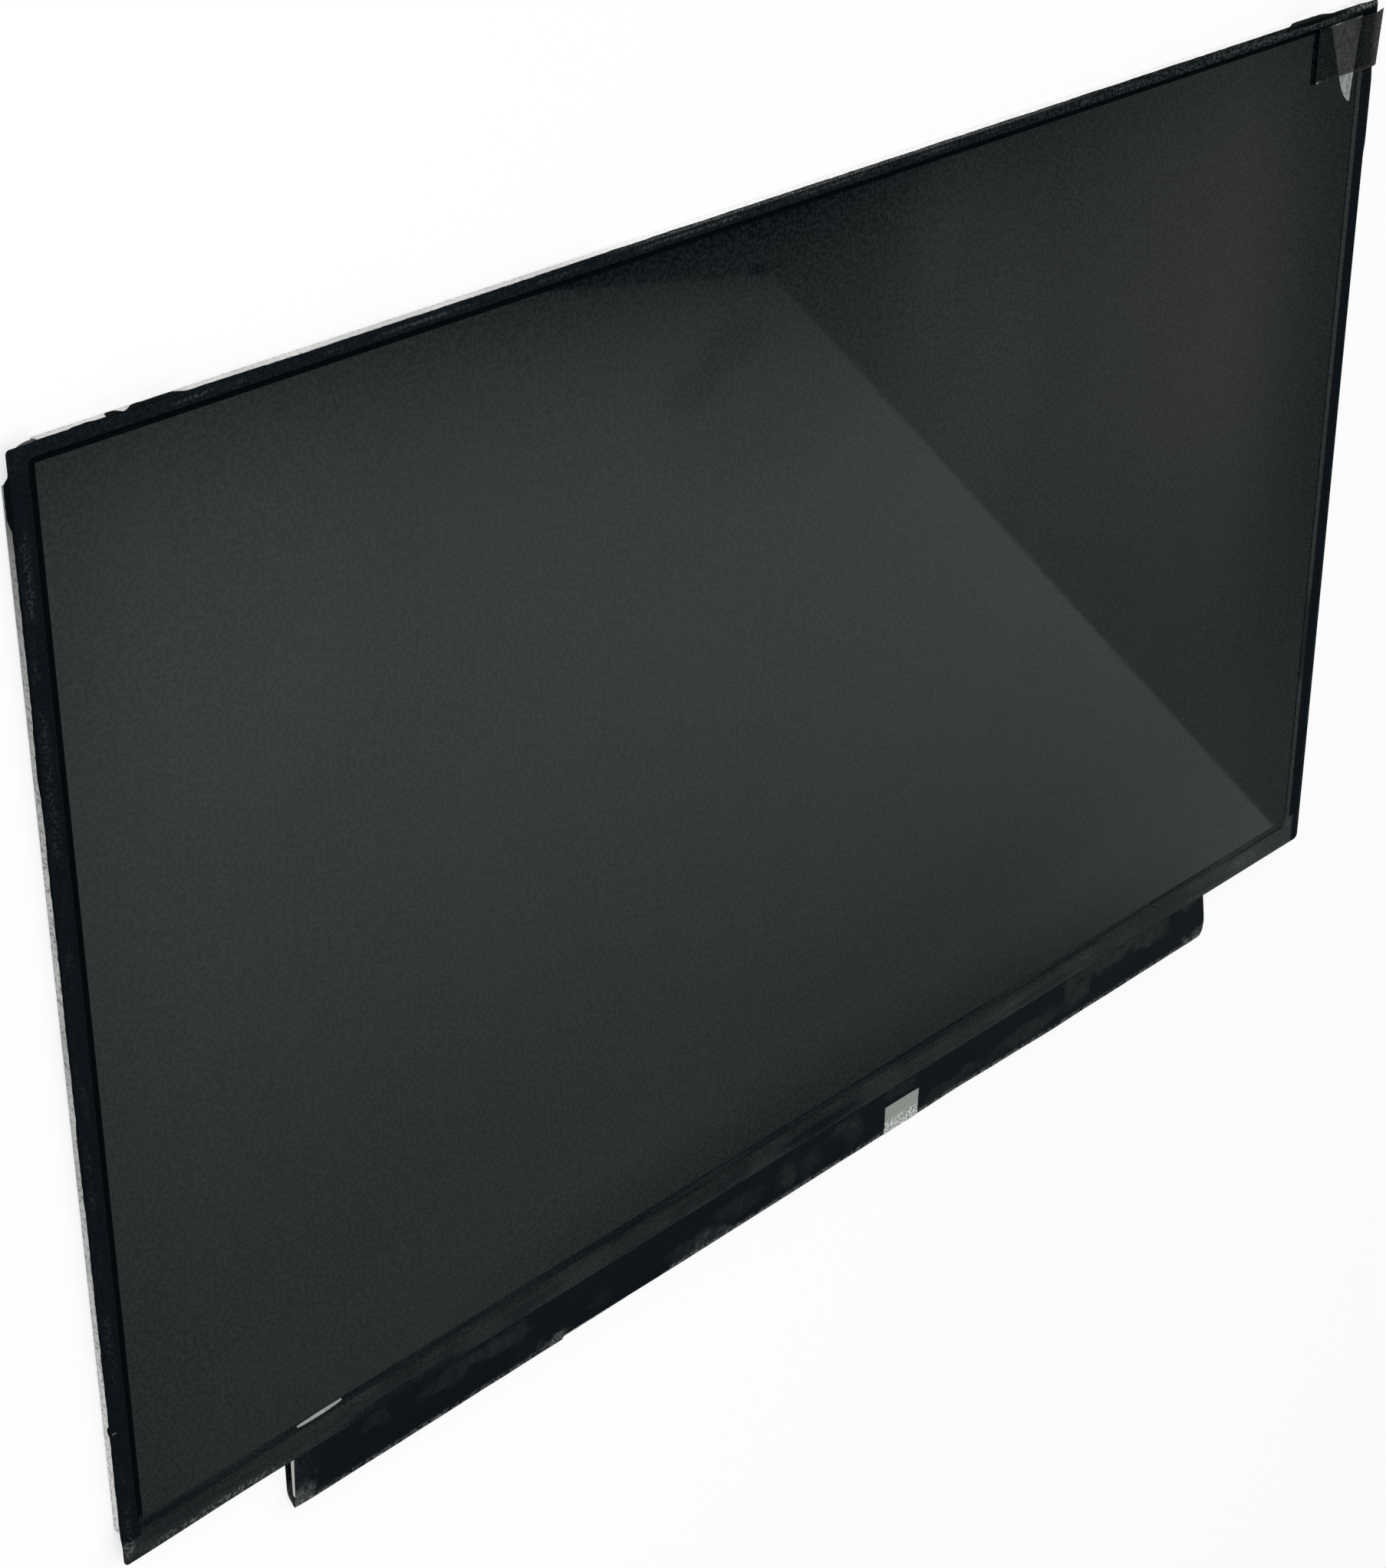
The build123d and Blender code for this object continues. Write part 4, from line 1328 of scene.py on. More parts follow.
    def skirt_row(self, station: Station, edge: Vector) -> list[Vector]:
        """Points of the skirt's outer face, from the bend to its edge.

        Args:
            station: The place along the ring.
            edge: The last point of the flat top.

        Returns:
            The points.
        """
        hang = self.hang(station)
        creep = self.push(edge)
        press = abs(self.press.at(edge.x, edge.y))
        drops = (
            (self.edge_in, self.edge_drop),
            (0.0, min(self.bend_drop, self.bend_share * hang)),
            (self.skirt_in + press, max(self.bend_drop, self.press_share * hang)),
            (self.skirt_in + 0.5 * press, hang),
        )
        return [self.body.grown(-inward).at(station, self.top - drop) + creep for inward, drop in drops]

    def inner_row(self, station: Station, outer: list[Vector]) -> list[Vector]:
        """Points of the inner face, one sheet inside the outer one.

        Args:
            station: The place along the ring.
            outer: The outer face's points there.

        Returns:
            The points.
        """
        row = []
        across = self.sheet * station.out
        low = self.top - self.sheet
        for index, point in enumerate(outer):
            if index < self.foot_points:
                row.append(point - Vector((0.0, 0.0, self.foot_under * self.foot_sheet)))
            elif index < self.foot_points + self.slope_points:
                depth = self.sheet * min(1.0, self.slope_growth * index)
                row.append(point + across - Vector((0.0, 0.0, depth)))
            elif index < len(outer) - self.skirt_points:
                row.append(Vector((point.x, point.y, low)))
            else:
                row.append(Vector((point.x, point.y, min(point.z, low))) - across)
        return row


@dataclass
class Wrap:
    """The line that the board cover follows: flat deck, tight fold and round hull behind."""

    fold_radius: float = 0.5
    hull_radius: float = 3.5

    def __post_init__(self) -> None:
        """Takes the flap's edges and heights from the frame and works out the two middles."""
        flap = cad_rect("board_cover")
        self.top, self.bottom = flap.top, flap.bottom
        self.deck = cad_top("board_cover")
        rear = cad_low("rear_sheet_left")
        self.fold = (self.bottom + self.fold_radius, self.deck - self.fold_radius)
        reach = self.hull_radius - self.fold_radius
        rise = rear + self.hull_radius - self.fold[1]
        run = math.sqrt(reach * reach - rise * rise)
        self.hull = (self.fold[0] + run, rear + self.hull_radius)
        self.meeting = math.atan2(-rise, -run) % math.tau
        self.deck_length = self.top - self.fold[0]
        self.fold_length = self.fold_radius * (self.meeting - QUARTER)

    def at(self, distance: float) -> tuple[Vector, Vector]:
        """A place along the wrap.

        Args:
            distance: Its distance from the deck's upper edge.

        Returns:
            The point and the outward direction there, both with no X part.
        """
        if distance <= self.deck_length:
            return Vector((0.0, self.top - distance, self.deck)), Vector((0.0, 0.0, 1.0))
        bent = distance - self.deck_length
        if bent <= self.fold_length:
            middle, radius, angle = self.fold, self.fold_radius, QUARTER + bent / self.fold_radius
        else:
            middle, radius = self.hull, self.hull_radius
            angle = self.meeting + (bent - self.fold_length) / radius
        out = Vector((0.0, math.cos(angle), math.sin(angle)))
        return Vector((0.0, *middle)) + radius * out, out

    def length_to(self, rise: float) -> float:
        """Distance along the wrap to the point behind that lies so far above the flap's edge."""
        angle = math.tau - math.acos((self.bottom + rise - self.hull[0]) / self.hull_radius)
        return self.deck_length + self.fold_length + (angle - self.meeting) * self.hull_radius


@dataclass
class BoardCover:
    """Black sheet over the driver board: it sags, ripples and curls, and is folded round the flap's edge."""

    sheet: float = 0.12
    fold_return: float = 1.0
    right_radius: float = 2.2
    right_steps: int = 15
    flare: float = 1.6
    flare_rise: float = 4.0
    flare_reach: float = 30.0
    pitch: float = 1.0
    across: int = 48
    sag: float = 0.22
    left_sag: float = 0.16
    sag_power: float = 2.5
    swings: tuple[Ripple, ...] = (Ripple(34.0, 0.5, 4.0), Ripple(11.0, 0.3, 6.0))
    left_curl: float = 0.2
    left_curl_rise: float = 2.0
    right_curl: float = 0.3
    curl_reach: float = 5.0
    waves: Ripple = Ripple(7.0, 0.03, 1.0)
    wave_stretch: float = 0.5
    wave_rise: float = 4.0
    notch_x: float = -71.8
    notch_gaps: tuple[float, ...] = (-0.3, -0.1, 0.1, 0.3)
    notch_edge: Span = (-0.2, 0.2)
    notch_depth: float = 0.75
    notch_rest: float = 0.5
    notch_fade: float = 40.0
    notch_end: Span = (85.0, 42.5)
    notch_rise: Span = (0.5, 1.0)

    def build(self) -> None:
        """Makes the sheet and dresses it, and the sheets behind it."""
        self.wrap = Wrap()
        self.full = self.wrap.length_to(self.fold_return)
        self.flap = cad_rect("board_cover")
        left, bend = self.flap.left, self.flap.right - self.right_radius
        count = round((bend - left) / self.pitch)
        turns = [QUARTER * i / self.right_steps for i in range(self.right_steps + 1)]
        places = [left + (bend - left) * i / count for i in range(count)]
        places += [self.notch_x + gap for gap in self.notch_gaps]
        places += [bend + self.right_radius * math.sin(turn) for turn in turns]
        places.sort()
        outer, inner = ([self.row(x, depth) for x in places] for depth in (0.0, self.sheet))
        finish = CoverFinish("black_sheet", left, self.flap.bottom)
        settle(sheet_piece("board_cover_sheet", outer, inner), finish, "black_sheet", "board_cover")
        dress_nodes({finish: ("rear_sheet_left", "rear_sheet_right")})

    def row(self, x: float, depth: float) -> list[Vector]:
        """Points down the sheet at a place along X, so deep under its outer face."""
        step = self.reach(x) / (self.across - 1)
        return [self.at(x, step * i, -depth) for i in range(self.across)]

    def reach(self, x: float) -> float:
        """Length of the sheet down and round the fold.

        Args:
            x: Place along the flap.

        Returns:
            The length there, which the round right corner shortens.
        """
        past = x - (self.flap.right - self.right_radius)
        if past <= 0.0:
            return self.full
        cut = self.right_radius - math.sqrt(max(0.0, self.right_radius ** 2 - past ** 2))
        kept = 1.0 - cut / self.wrap.fold_radius
        if kept > 0.0:
            return self.wrap.deck_length + kept * (self.full - self.wrap.deck_length)
        return self.flap.top - self.flap.bottom - cut

    def at(self, x: float, distance: float, out: float) -> Vector:
        """A point near the cover.

        Args:
            x: Place along the flap, before its right end flares.
            distance: Way down the sheet and round its fold.
            out: Distance outside its outer face.

        Returns:
            The point.
        """
        flap = self.flap
        point, normal = self.wrap.at(distance)
        down = min(1.0, distance / self.wrap.deck_length)
        fade = ramp(distance, self.full, self.wrap.deck_length)
        wave = self.waves.above(self.wave_stretch * x, distance) * min(1.0, self.wave_rise * down)
        point = point + normal * (out - wave)
        y = point.y + self.notch(x) * ramp(down, *self.notch_rise) * fade
        climb = (y - flap.bottom - self.flare_rise) / (flap.top - flap.bottom - self.flare_rise)
        neck = self.flare * min(1.0, max(0.0, climb))
        flared = x - neck * ramp(x, flap.right - self.flare_reach, flap.right)
        return Vector((flared, y, point.z - self.drop(x, down) * fade))

    def drop(self, x: float, down: float) -> float:
        """How far the sheet hangs below its wrap.

        Args:
            x: Place along the flap.
            down: Share of the way down the deck.

        Returns:
            The sag with the curl of the ends.
        """
        swing = 1.0 + sum(part.at(x, 0.0) for part in self.swings)
        sag = (self.sag * swing + self.left_sag * ramp(x, 0.0, -self.flap.right)) * down ** self.sag_power
        from_left = max(0.0, 1.0 - (x - self.flap.left) / self.curl_reach)
        from_right = max(0.0, 1.0 - (self.flap.right - x) / self.curl_reach)
        left = self.left_curl * from_left ** 2 * min(1.0, self.left_curl_rise * down)
        return sag + left + self.right_curl * (from_right * down) ** 2

    def notch(self, x: float) -> float:
        """How far the lower edge is pulled up: most just right of the notch.

        Args:
            x: Place along the flap.

        Returns:
            The pull.
        """
        past = x - self.notch_x
        depth = self.notch_depth + (self.notch_rest - self.notch_depth) * ramp(past, 0.0, self.notch_fade)
        return depth * ramp(past, *self.notch_edge) * ramp(x, *self.notch_end)


@dataclass
class Sticker:
    """Small bare sticker folded round the flap's edge, crumpled at its lower half."""

    sheet: float = 0.08
    rise: float = 7.5
    wrap_rise: float = 1.8
    lift: float = 0.1
    lift_along: Span = (0.75, 1.0)
    lift_down: Span = (1.0 / 3.0, 0.0)
    crumple: Ripple = Ripple(1.2, 0.05, 11.0)
    crumple_down: Span = (0.2, 0.2 + 1.0 / 3.0)
    crumple_end: Span = (1.0, 0.75)
    worn: Span = (0.62, 0.38)
    along: int = 24
    across: int = 32

    def build(self, cover: BoardCover) -> None:
        """Makes the sticker and dresses it.

        Args:
            cover: The board cover that it sticks to.
        """
        self.cover = cover
        self.area = cad_rect("sticker")
        wrap = cover.wrap
        self.start = wrap.top - wrap.bottom - self.rise
        self.end = min(wrap.length_to(self.wrap_rise), cover.full)
        faces = sheet_faces(self.point, self.along, self.across, (self.sheet, 0.0))
        worn_reach = tuple(wrap.bottom + share * self.rise for share in self.worn)
        finish = StickerFinish("sticker_paper", worn_reach)
        settle(sheet_piece("sticker_paper", *faces), finish, "sticker_paper", "sticker")

    def point(self, along: float, down: float, out: float) -> Vector:
        """A point of the sticker, with its crumples and its lifted right corner.

        Args:
            along: Share of its width.
            down: Share of the way down it.
            out: Distance outside the board cover.

        Returns:
            The point.
        """
        x = self.area.left + (self.area.right - self.area.left) * along
        distance = self.start + (self.end - self.start) * down
        flat = ramp(distance / self.cover.wrap.deck_length, *self.crumple_end)
        crumple = self.crumple.above(x, distance) * ramp(down, *self.crumple_down) * flat
        corner = self.lift * ramp(along, *self.lift_along) * ramp(down, *self.lift_down)
        return self.cover.at(x, distance, out + crumple + corner)


@dataclass
class PaleEdge:
    """Pale strip of the inner film that shows under the flap's lower edge beside its notch."""

    start: float = 0.3
    length: float = 17.0
    width: float = 0.3
    taper: float = 0.75
    even: float = 0.8
    frays: Ripple = Ripple(1.4, 0.4, 3.0)
    tuck: float = 0.1
    fold_share: float = 0.6
    sheet: float = 0.05
    along: int = 34
    across: int = 3

    def build(self, cover: BoardCover) -> None:
        """Makes the strip and dresses it.

        Args:
            cover: The board cover that it shows under.
        """
        self.cover = cover
        faces = sheet_faces(self.point, self.along, self.across, (0.0, -self.sheet))
        pale = PlainFinish("pale_edge", (0.5, 0.52, 0.5), rough=0.5, grain=0.3, blotch=1.5)
        settle(sheet_piece("pale_edge_strip", *faces), pale, "pale_liner")

    def point(self, along: float, down: float, out: float) -> Vector:
        """A point of the strip, which narrows towards its right end.

        Args:
            along: Share of its length.
            down: Share of its width.
            out: Distance outside the strip's outer face.

        Returns:
            The point.
        """
        wrap = self.cover.wrap
        x = self.cover.notch_x + self.start + self.length * along
        edge = self.cover.at(x, wrap.deck_length + self.fold_share * wrap.fold_length, out)
        width = self.width * (1.0 - self.taper * along) * (self.even + self.frays.at(x, 0.0))
        return Vector((x, edge.y + self.tuck - (self.tuck + width) * down, edge.z + out))


@dataclass
class PullTab:
    """Smoky tape at the top right corner, with the pale tongue that it holds on the screen."""

    sheet: float = 0.08
    climb: float = 3.6
    lip: float = 0.5
    lip_reach: float = 0.35
    right_gap: float = 0.1
    slant: float = 1.1
    rise: float = 0.5
    bubbles: Ripple = Ripple(3.0, 0.02, 21.0)
    shy: float = 0.01
    tape_down: int = 14
    tape_across: int = 60
    tongue_sheet: float = 0.06
    tongue_slant: float = 7.2
    tongue_drift: float = 2.5
    tip_length: float = 3.6
    tip_width: float = 0.02
    tip_lift: float = 0.12
    tip_bend: Span = (0.7, 1.0)
    tongue_down: int = 60
    tongue_across: int = 8

    def build(self) -> None:
        """Makes the tape and the tongue and dresses them."""
        self.area = cad_rect("pull_tape")
        self.tongue_area = cad_rect("pull_tongue")
        self.film = cad_top("protective_film")
        self.border = cad_top("border_tape")
        self.outer_edge = cad_rect("border_tape").right
        self.film_edge = cad_rect("protective_film").right
        faces = sheet_faces(self.tape_point, self.tape_down, self.tape_across, (self.sheet, 0.0))
        smoky = SmokyFinish("smoky_tape", self.film_edge, self.area)
        settle(sheet_piece("pull_tape_sheet", *faces), smoky, "smoky_tape", "pull_tape")
        faces = sheet_faces(self.tongue_point, self.tongue_down, self.tongue_across, (self.tongue_sheet, 0.0))
        pale = PlainFinish("pale_liner", (0.29, 0.31, 0.295), rough=0.6, grain=0.4, relief=0.01, blotch=0.9,
                           fade=0.5)
        settle(sheet_piece("pull_tongue_strip", *faces), pale, "pale_liner", "pull_tongue")

    def tape_point(self, down: float, across: float, out: float) -> Vector:
        """A point of the tape, which climbs from the screen onto the border and hangs over the edge.

        Args:
            down: Share of its height, from its top.
            across: Share of its width, from its left.
            out: Distance above its underside.

        Returns:
            The point.
        """
        area = self.area
        y = area.top + (area.bottom - area.top) * down
        x = area.left + (area.right - self.right_gap - self.slant * down - area.left) * across
        low = self.film + self.tongue_sheet
        z = low + (self.border - low) * ramp(x, self.film_edge - self.climb, self.film_edge)
        z += self.lip * math.exp(-(x - area.left) / self.lip_reach) + self.bubbles.above(x, y)
        hang = max(0.0, (x - self.outer_edge) / (area.right - self.outer_edge))
        return Vector((x, y + self.rise * hang, min(z, self.border - self.shy) + out))

    def tongue_point(self, down: float, across: float, out: float) -> Vector:
        """A point of the tongue, from its root to its round, lifted tip.

        Args:
            down: Share of its length, from its root.
            across: Share of its width, from its left.
            out: Distance above its underside.

        Returns:
            The point.
        """
        area = self.tongue_area
        length = area.top - area.bottom
        right = area.right - self.tongue_drift * down
        width = right - area.left - self.tongue_slant * down
        past = max(0.0, 1.0 - length * (1.0 - down) / self.tip_length)
        width *= max(self.tip_width, math.sqrt(max(0.0, 1.0 - past * past)))
        lift = self.tip_lift * ramp(down, *self.tip_bend)
        return Vector((right - width * (1.0 - across), area.top - length * down, self.film + lift + out))


@dataclass
class LiftedFilm:
    """Short sliver of the screen film that has come up along the lower border; its pale grey colour is a
    painted glint.
    """

    left: float = -137.6
    right: float = -127.2
    y: float = -95.3
    slant: float = 0.25
    width: float = 0.6
    below: float = 0.6
    rise: float = 0.3
    sheet: float = 0.05
    blunt: float = 0.03
    swell_power: float = 0.3
    along: int = 40
    across: int = 6

    def build(self) -> None:
        """Makes the curled sliver and dresses it."""
        self.film = cad_top("protective_film")
        faces = sheet_faces(self.point, self.along, self.across, (self.sheet, 0.0))
        # The clear film is painted pale grey: a painted glint.
        pale = PlainFinish("lifted_film", (0.3, 0.34, 0.31), rough=0.3, grain=0.5, blotch=1.5)
        settle(sheet_piece("lifted_film_sliver", *faces), pale, "clear_film")

    def point(self, along: float, up: float, out: float) -> Vector:
        """A point of the sliver, which is widest and highest in its middle.

        Args:
            along: Share of its length.
            up: Share of its width, from its raised edge.
            out: Distance above its underside.

        Returns:
            The point.
        """
        turn = math.pi * (self.blunt + (1.0 - 2.0 * self.blunt) * along)
        swell = math.sin(turn) ** self.swell_power
        x = self.left + (self.right - self.left) * along
        y = self.y + self.slant * along + self.width * swell * (up - self.below)
        return Vector((x, y, self.film + self.rise * swell * (1.0 - up) ** 2 + out))


@dataclass
class ScreenStack:
    """The screen and the layers under it, which keep their solids."""

    source_films: int = 4

    def build(self) -> None:
        """Dresses the layers from the front to the back."""
        films = tuple(f"source_film_{i + 1}" for i in range(self.source_films))
        dress_nodes({
            ScreenFinish("screen_film"): ("protective_film", "front_polarizer"),
            PlainFinish("cell_glass", (0.07, 0.09, 0.085), rough=0.12, grain=4.0, relief=0.0005):
                ("array_glass", "colour_filter_glass", "rear_polarizer"),
            PlainFinish("white_sheet", (0.82, 0.82, 0.8), rough=0.55, grain=0.3, relief=0.002):
                ("reflector_sheet", "diffuser_sheet", "end_pad"),
            PlainFinish("milky_sheet", (0.7, 0.73, 0.74), rough=0.3, grain=0.15):
                ("light_guide", "lower_prism_sheet", "upper_prism_sheet"),
            PlainFinish("amber_print", (0.3, 0.15, 0.04), rough=0.35, grain=0.4): ("light_strip", *films),
            PlainFinish("lamp_resin", (0.8, 0.78, 0.66), rough=0.45, grain=0.1): ("lamps",),
            PlainFinish("rim_tape", (0.02, 0.02, 0.021), rough=0.6, grain=0.3): ("rim_tape",),
        })


@dataclass
class Casing:
    """Metal back cover and moulded frame, which keep their solids."""

    def build(self) -> None:
        """Dresses the cover and the frame."""
        dress_nodes({
            MetalFinish("cover_metal", cad_rect("border_tape")): ("back_cover",),
            PlainFinish("frame_plastic", (0.012, 0.013, 0.015), rough=0.5, grain=0.12, relief=0.01):
                ("mould_frame",),
        })


@dataclass
class DriverBoard:
    """Control board with its chips, coils, capacitors and connectors, which keep their solids."""

    driver_chips: int = 4

    def build(self) -> None:
        """Dresses the board and what it carries."""
        chips = tuple(f"driver_chip_{i + 1}" for i in range(self.driver_chips))
        dress_nodes({
            BoardFinish("circuit_board"): ("control_board",),
            PlainFinish("chip_resin", (0.018, 0.018, 0.02), rough=0.55, grain=0.08, relief=0.008):
                ("timing_chip", "power_chip", "backlight_chip", *chips),
            PlainFinish("coil_ferrite", (0.1, 0.1, 0.105), rough=0.6, grain=0.1): ("power_coils",),
            CapacitorFinish("capacitor_ceramic"): ("ceramic_capacitors",),
            PlainFinish("connector_plastic", (0.7, 0.66, 0.55), rough=0.42, grain=0.1, relief=0.005):
                ("data_connector_housing", "tail_connector"),
            PlainFinish("connector_steel", (0.6, 0.6, 0.58), rough=0.3, grain=0.4, metal=1.0):
                ("data_connector_shell",),
            PlainFinish("contact_metal", (0.8, 0.58, 0.24), rough=0.25, grain=0.3, metal=1.0):
                ("data_connector_contacts",),
            PlainFinish("latch_plastic", (0.03, 0.03, 0.03), rough=0.45, grain=0.1): ("tail_latch",),
        })


@dataclass
class Eye:
    """Camera where the photograph was taken from."""

    place: Vector = Vector((-416.816, 268.875, 360.948))
    look: Vector = Vector((0.64551, -0.46441, -0.60633))
    up: Vector = Vector((0.33866, 0.88562, -0.31779))
    focal_pixels: float = 4166.9
    image_height: float = 2044.0
    sensor: float = 36.0
    nearest: float = 10.0

    def build(self) -> None:
        """Makes the camera."""
        data = bpy.data.cameras.new("camera")
        data.sensor_width = self.sensor
        data.lens = self.focal_pixels * self.sensor / self.image_height
        data.clip_start = self.nearest * MM
        camera = linked("camera", data)
        right = self.look.cross(self.up)
        turn = Matrix((right, self.up, -self.look)).transposed()
        camera.matrix_world = Matrix.Translation(self.place * MM) @ turn.to_4x4()
        bpy.context.scene.camera = camera
        LOG.info("camera lens %.2f mm", data.lens)


@dataclass
class Room:
    """Plain soft light all round, with the corner of a dim room where the screen mirrors it.

    A direction is told by the place on the screen where the eye meets its mirror image.
    """

    plain: Colour = (0.75, 0.75, 0.75)
    tint: Colour = (0.87, 1.0, 0.87)
    warmth: float = 0.13
    warm_along: Profile = Profile(0.0, (Rise(0.4, 15.0, 40.0), Rise(0.6, 80.0, 125.0)))
    warm_end: Span = (170.0, 130.0)
    warm_up: Reach = (-10.0, 40.0, 70.0, 98.0)
    far: float = 200.0
    lowest_ray: float = 0.02
    inside_x: Span = (-199.0, -182.0)
    inside_y: Span = (150.0, 108.0)
    floor_dark: Profile = Profile(1.0, (Rise(-0.75, -108.0, -140.0),))
    corner: tuple[float, float] = (-14.5, 87.3)
    edge_end: tuple[float, float] = (173.7, -100.7)
    left_pitch: float = -0.196
    blur: float = 0.6
    gloom: float = 0.01
    brow: float = 98.4
    knot: Mark = Mark(-18.4, 89.3, 2.8, 1.0, 0.7)
    wall_up: Profile = Profile(0.4, (Rise(0.47, -78.0, 56.0),))
    wall_left: Profile = Profile(0.86, (Rise(0.14, -176.0, -150.0),))
    glow: float = 0.001
    glow_from: float = 55.0
    dip: float = 0.1
    dip_along: Span = (-110.0, 10.0)
    dip_up: Span = (-40.0, 60.0)
    low_dip: float = 0.06
    low_dip_along: Reach = (-60.0, 10.0, 60.0, 120.0)
    low_dip_up: Span = (-40.0, -75.0)
    sill: Profile = Profile(0.15, (Rise(0.37, -120.0, -20.0), Rise(-0.5, 85.0, 155.0)))
    sill_up: Span = (-74.0, -100.0)
    wall_shade: float = 0.62
    wall_shade_reach: float = 14.0
    brow_shade: float = 0.36
    brow_shade_reach: float = 11.0
    smudges: tuple[Mark, ...] = (Mark(-35.0, 71.8, 10.0, 5.5, 0.14), Mark(-25.0, 77.4, 11.0, 6.5, 0.15),
                                 Mark(-14.0, 66.0, 34.0, 22.0, 0.09), Mark(-138.0, 66.0, 34.0, 46.0, -0.09))
    ceiling_up: Profile = Profile(0.264, (Rise(0.136, -45.0, 45.0),))
    ceiling_shade: Profile = Profile(0.96, (Rise(-0.38, -12.0, 45.0), Rise(-0.2, 50.0, 110.0)))
    ceiling_shade_reach: float = 20.0
    right_fall: Profile = Profile(0.6, (Rise(-0.32, 20.0, -70.0),))
    right_fall_along: Span = (126.0, 176.0)
    columns: tuple[Mark, ...] = (Mark(31.0, 88.0, 12.0, 20.0, 0.15), Mark(41.0, 62.0, 32.0, 50.0, 0.16))

    def build(self, eye: Eye, screen: float) -> None:
        """Writes the world's nodes.

        Args:
            eye: The camera whose mirrored view meets the room's corner.
            screen: Height of the screen.
        """
        world = bpy.data.worlds.new("room")
        world.use_nodes = True
        bpy.context.scene.world = world
        shader = Shader(world.node_tree)
        ray_x, ray_y, ray_z = shader.axes(shader.value("ShaderNodeTexCoord", output="Generated"))
        span = (eye.place.z - screen) / ray_z.most(self.lowest_ray)
        x = (eye.place.x + ray_x * span).most(-self.far).least(self.far)
        y = (eye.place.y + ray_y * span).most(-self.far).least(self.far)
        inside = x.step(*self.inside_x) * y.step(*self.inside_y)
        room = self.walls(x, y) * self.floor_dark.along(y)
        warm = self.warm_along.along(x) * x.step(*self.warm_end) * y.within(*self.warm_up)
        red, green, blue = self.tint
        parts = {0: room * (red + self.warmth * warm), 1: room * green, 2: room * blue}
        tinted = shader.value("ShaderNodeCombineColor", None, parts)
        colour = shader.mix(inside, self.plain, tinted)
        background = shader.value("ShaderNodeBackground", None, {"Color": colour})
        shader.node("ShaderNodeOutputWorld", None, {"Surface": background})
        LOG.info("made the room")

    def walls(self, x: Value, y: Value) -> Value:
        """Light of the two walls and the dark ceiling.

        Args:
            x: Mirrored place along the panel.
            y: Mirrored place up the panel.

        Returns:
            The light there.
        """
        away_x, away_y = x - self.corner[0], y - self.corner[1]
        run = (Vector(self.edge_end) - Vector(self.corner)).normalized()
        turned = (away_y * run.x - away_x * run.y).step(-self.blur, self.blur)
        under = away_x * self.left_pitch - away_y
        from_brow = (self.brow - y).most(0.0)
        lit = self.lit_wall(x, y, under, from_brow)
        dark = turned.most(under.step(self.blur, -self.blur))
        light = self.gloom + lit + dark * (self.ceiling(x, y, from_brow) - lit)
        return light * (1.0 - self.knot.mask(x, y))

    def lit_wall(self, x: Value, y: Value, under: Value, from_brow: Value) -> Value:
        """Light of the wall that the lamp reaches.

        Args:
            x: Mirrored place along the panel.
            y: Mirrored place up the panel.
            under: Distance below the ceiling's left edge.
            from_brow: Distance below the brow over the screen's top.

        Returns:
            The light there.
        """
        lit = self.wall_up.along(y) + self.glow * (x - self.glow_from).most(0.0)
        lit = lit - self.dip * x.step(*self.dip_along) * y.step(*self.dip_up)
        lit = lit - self.low_dip * x.within(*self.low_dip_along) * y.step(*self.low_dip_up)
        lit = lit * self.wall_left.along(x) * (1.0 - self.sill.along(x) * y.step(*self.sill_up))
        lit = lit * (1.0 - self.wall_shade * under.most(0.0).rest(self.wall_shade_reach))
        lit = lit * (1.0 - self.brow_shade * from_brow.rest(self.brow_shade_reach))
        return lit * (1.0 - marked(self.smudges, x, y))

    def ceiling(self, x: Value, y: Value, from_brow: Value) -> Value:
        """Light of the dim ceiling.

        Args:
            x: Mirrored place along the panel.
            y: Mirrored place up the panel.
            from_brow: Distance below the brow over the screen's top.

        Returns:
            The light there.
        """
        shade = self.ceiling_shade.along(x) * from_brow.rest(self.ceiling_shade_reach)
        fall = self.right_fall.along(y) * x.step(*self.right_fall_along)
        return self.ceiling_up.along(y) * (1.0 - shade) * (1.0 - fall) * (1.0 + marked(self.columns, x, y))


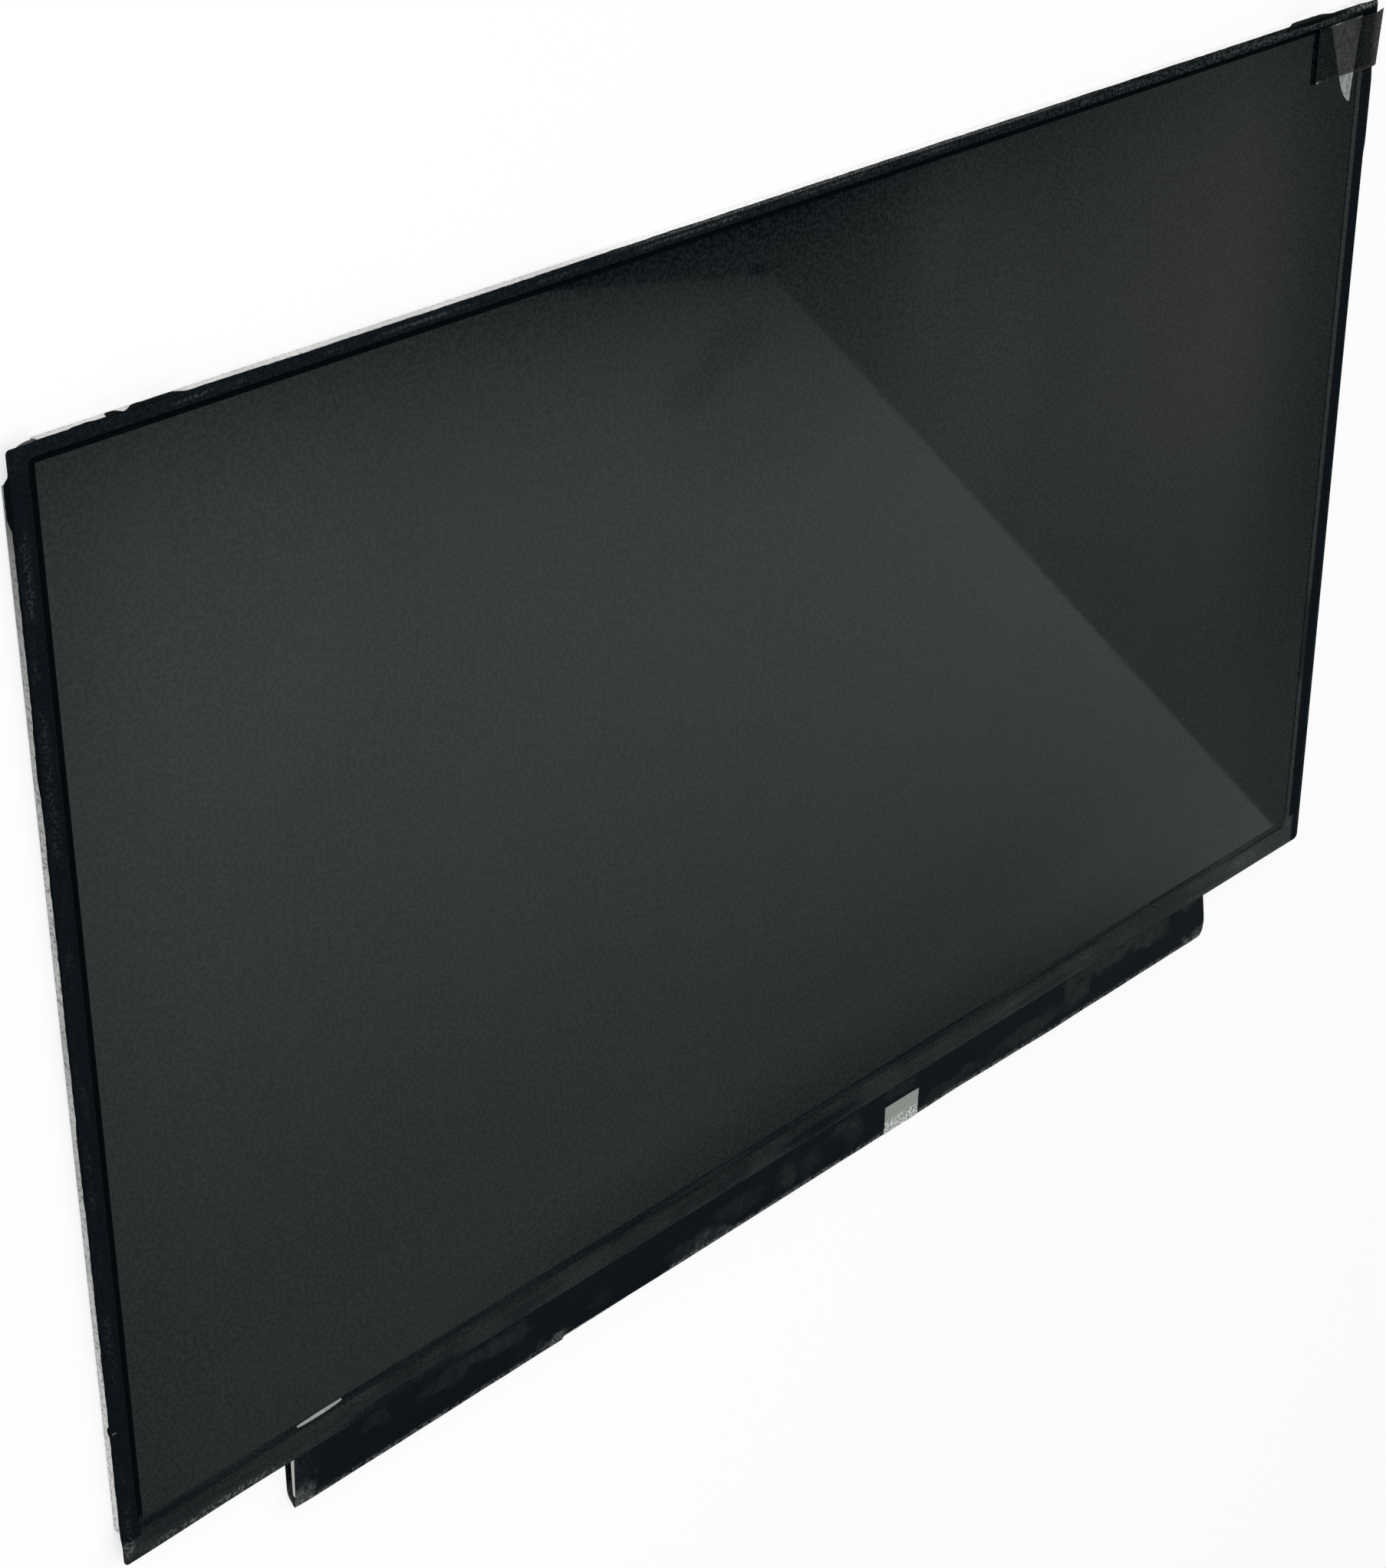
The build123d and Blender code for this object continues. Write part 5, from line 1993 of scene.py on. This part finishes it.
@dataclass
class Stage:
    """Pale floor under the panel and one soft lamp above it."""

    half_floor: float = 4000.0
    floor_gap: float = 0.02
    floor_colour: Colour = (0.86, 0.86, 0.86)
    glow: float = 1.1
    glow_share: float = 0.6
    lamp_place: Vector = Vector((-700.0, 600.0, 1300.0))
    lamp_size: float = 1100.0
    lamp_power: float = 9.0

    def build(self) -> None:
        """Makes the floor and the lamp."""
        self.floor()
        data = bpy.data.lights.new("soft_lamp", "AREA")
        data.size = self.lamp_size * MM
        data.energy = self.lamp_power
        lamp = linked("soft_lamp", data)
        turn = (-self.lamp_place).to_track_quat("-Z", "Y").to_matrix().to_4x4()
        lamp.matrix_world = Matrix.Translation(self.lamp_place * MM) @ turn
        LOG.info("made the floor and the lamp")

    def floor(self) -> None:
        """Makes the floor, which glows a little to the eye and keeps the shadow."""
        far, low = self.half_floor * MM, -self.floor_gap * MM
        corners = [(-far, -far, low), (far, -far, low), (far, far, low), (-far, far, low)]
        mesh = bpy.data.meshes.new("floor")
        mesh.from_pydata(corners, [], [(0, 1, 2, 3)])
        linked("floor", mesh)
        material = bpy.data.materials.new("pale_floor")
        material.use_nodes = True
        mesh.materials.append(material)
        shader = Shader(material.node_tree)
        path = shader.node("ShaderNodeLightPath")
        eye, glossy, through = (Value(shader, path.outputs[f"Is {kind} Ray"])
                                for kind in ("Camera", "Glossy", "Transmission"))
        seen = eye.most(glossy).most(through)
        matt = shader.value("ShaderNodeBsdfDiffuse", None, {"Color": self.floor_colour})
        glow = shader.value("ShaderNodeEmission", None, {"Strength": self.glow})
        mixed = shader.value("ShaderNodeMixShader", None, {0: seen * self.glow_share, 1: matt, 2: glow})
        shader.node("ShaderNodeOutputMaterial", None, {"Surface": mixed})


def main() -> None:
    """Builds the panel's looks in order, then the stage."""
    logging.basicConfig(level=logging.INFO)
    bpy.context.scene.view_settings.view_transform = "Standard"
    Casing().build()
    ScreenStack().build()
    DriverBoard().build()
    BorderTape().build()
    cover = BoardCover()
    cover.build()
    Sticker().build(cover)
    PaleEdge().build(cover)
    PullTab().build()
    LiftedFilm().build()
    eye = Eye()
    eye.build()
    Room().build(eye, cad_top("protective_film"))
    Stage().build()


if __name__ == "__main__":
    main()
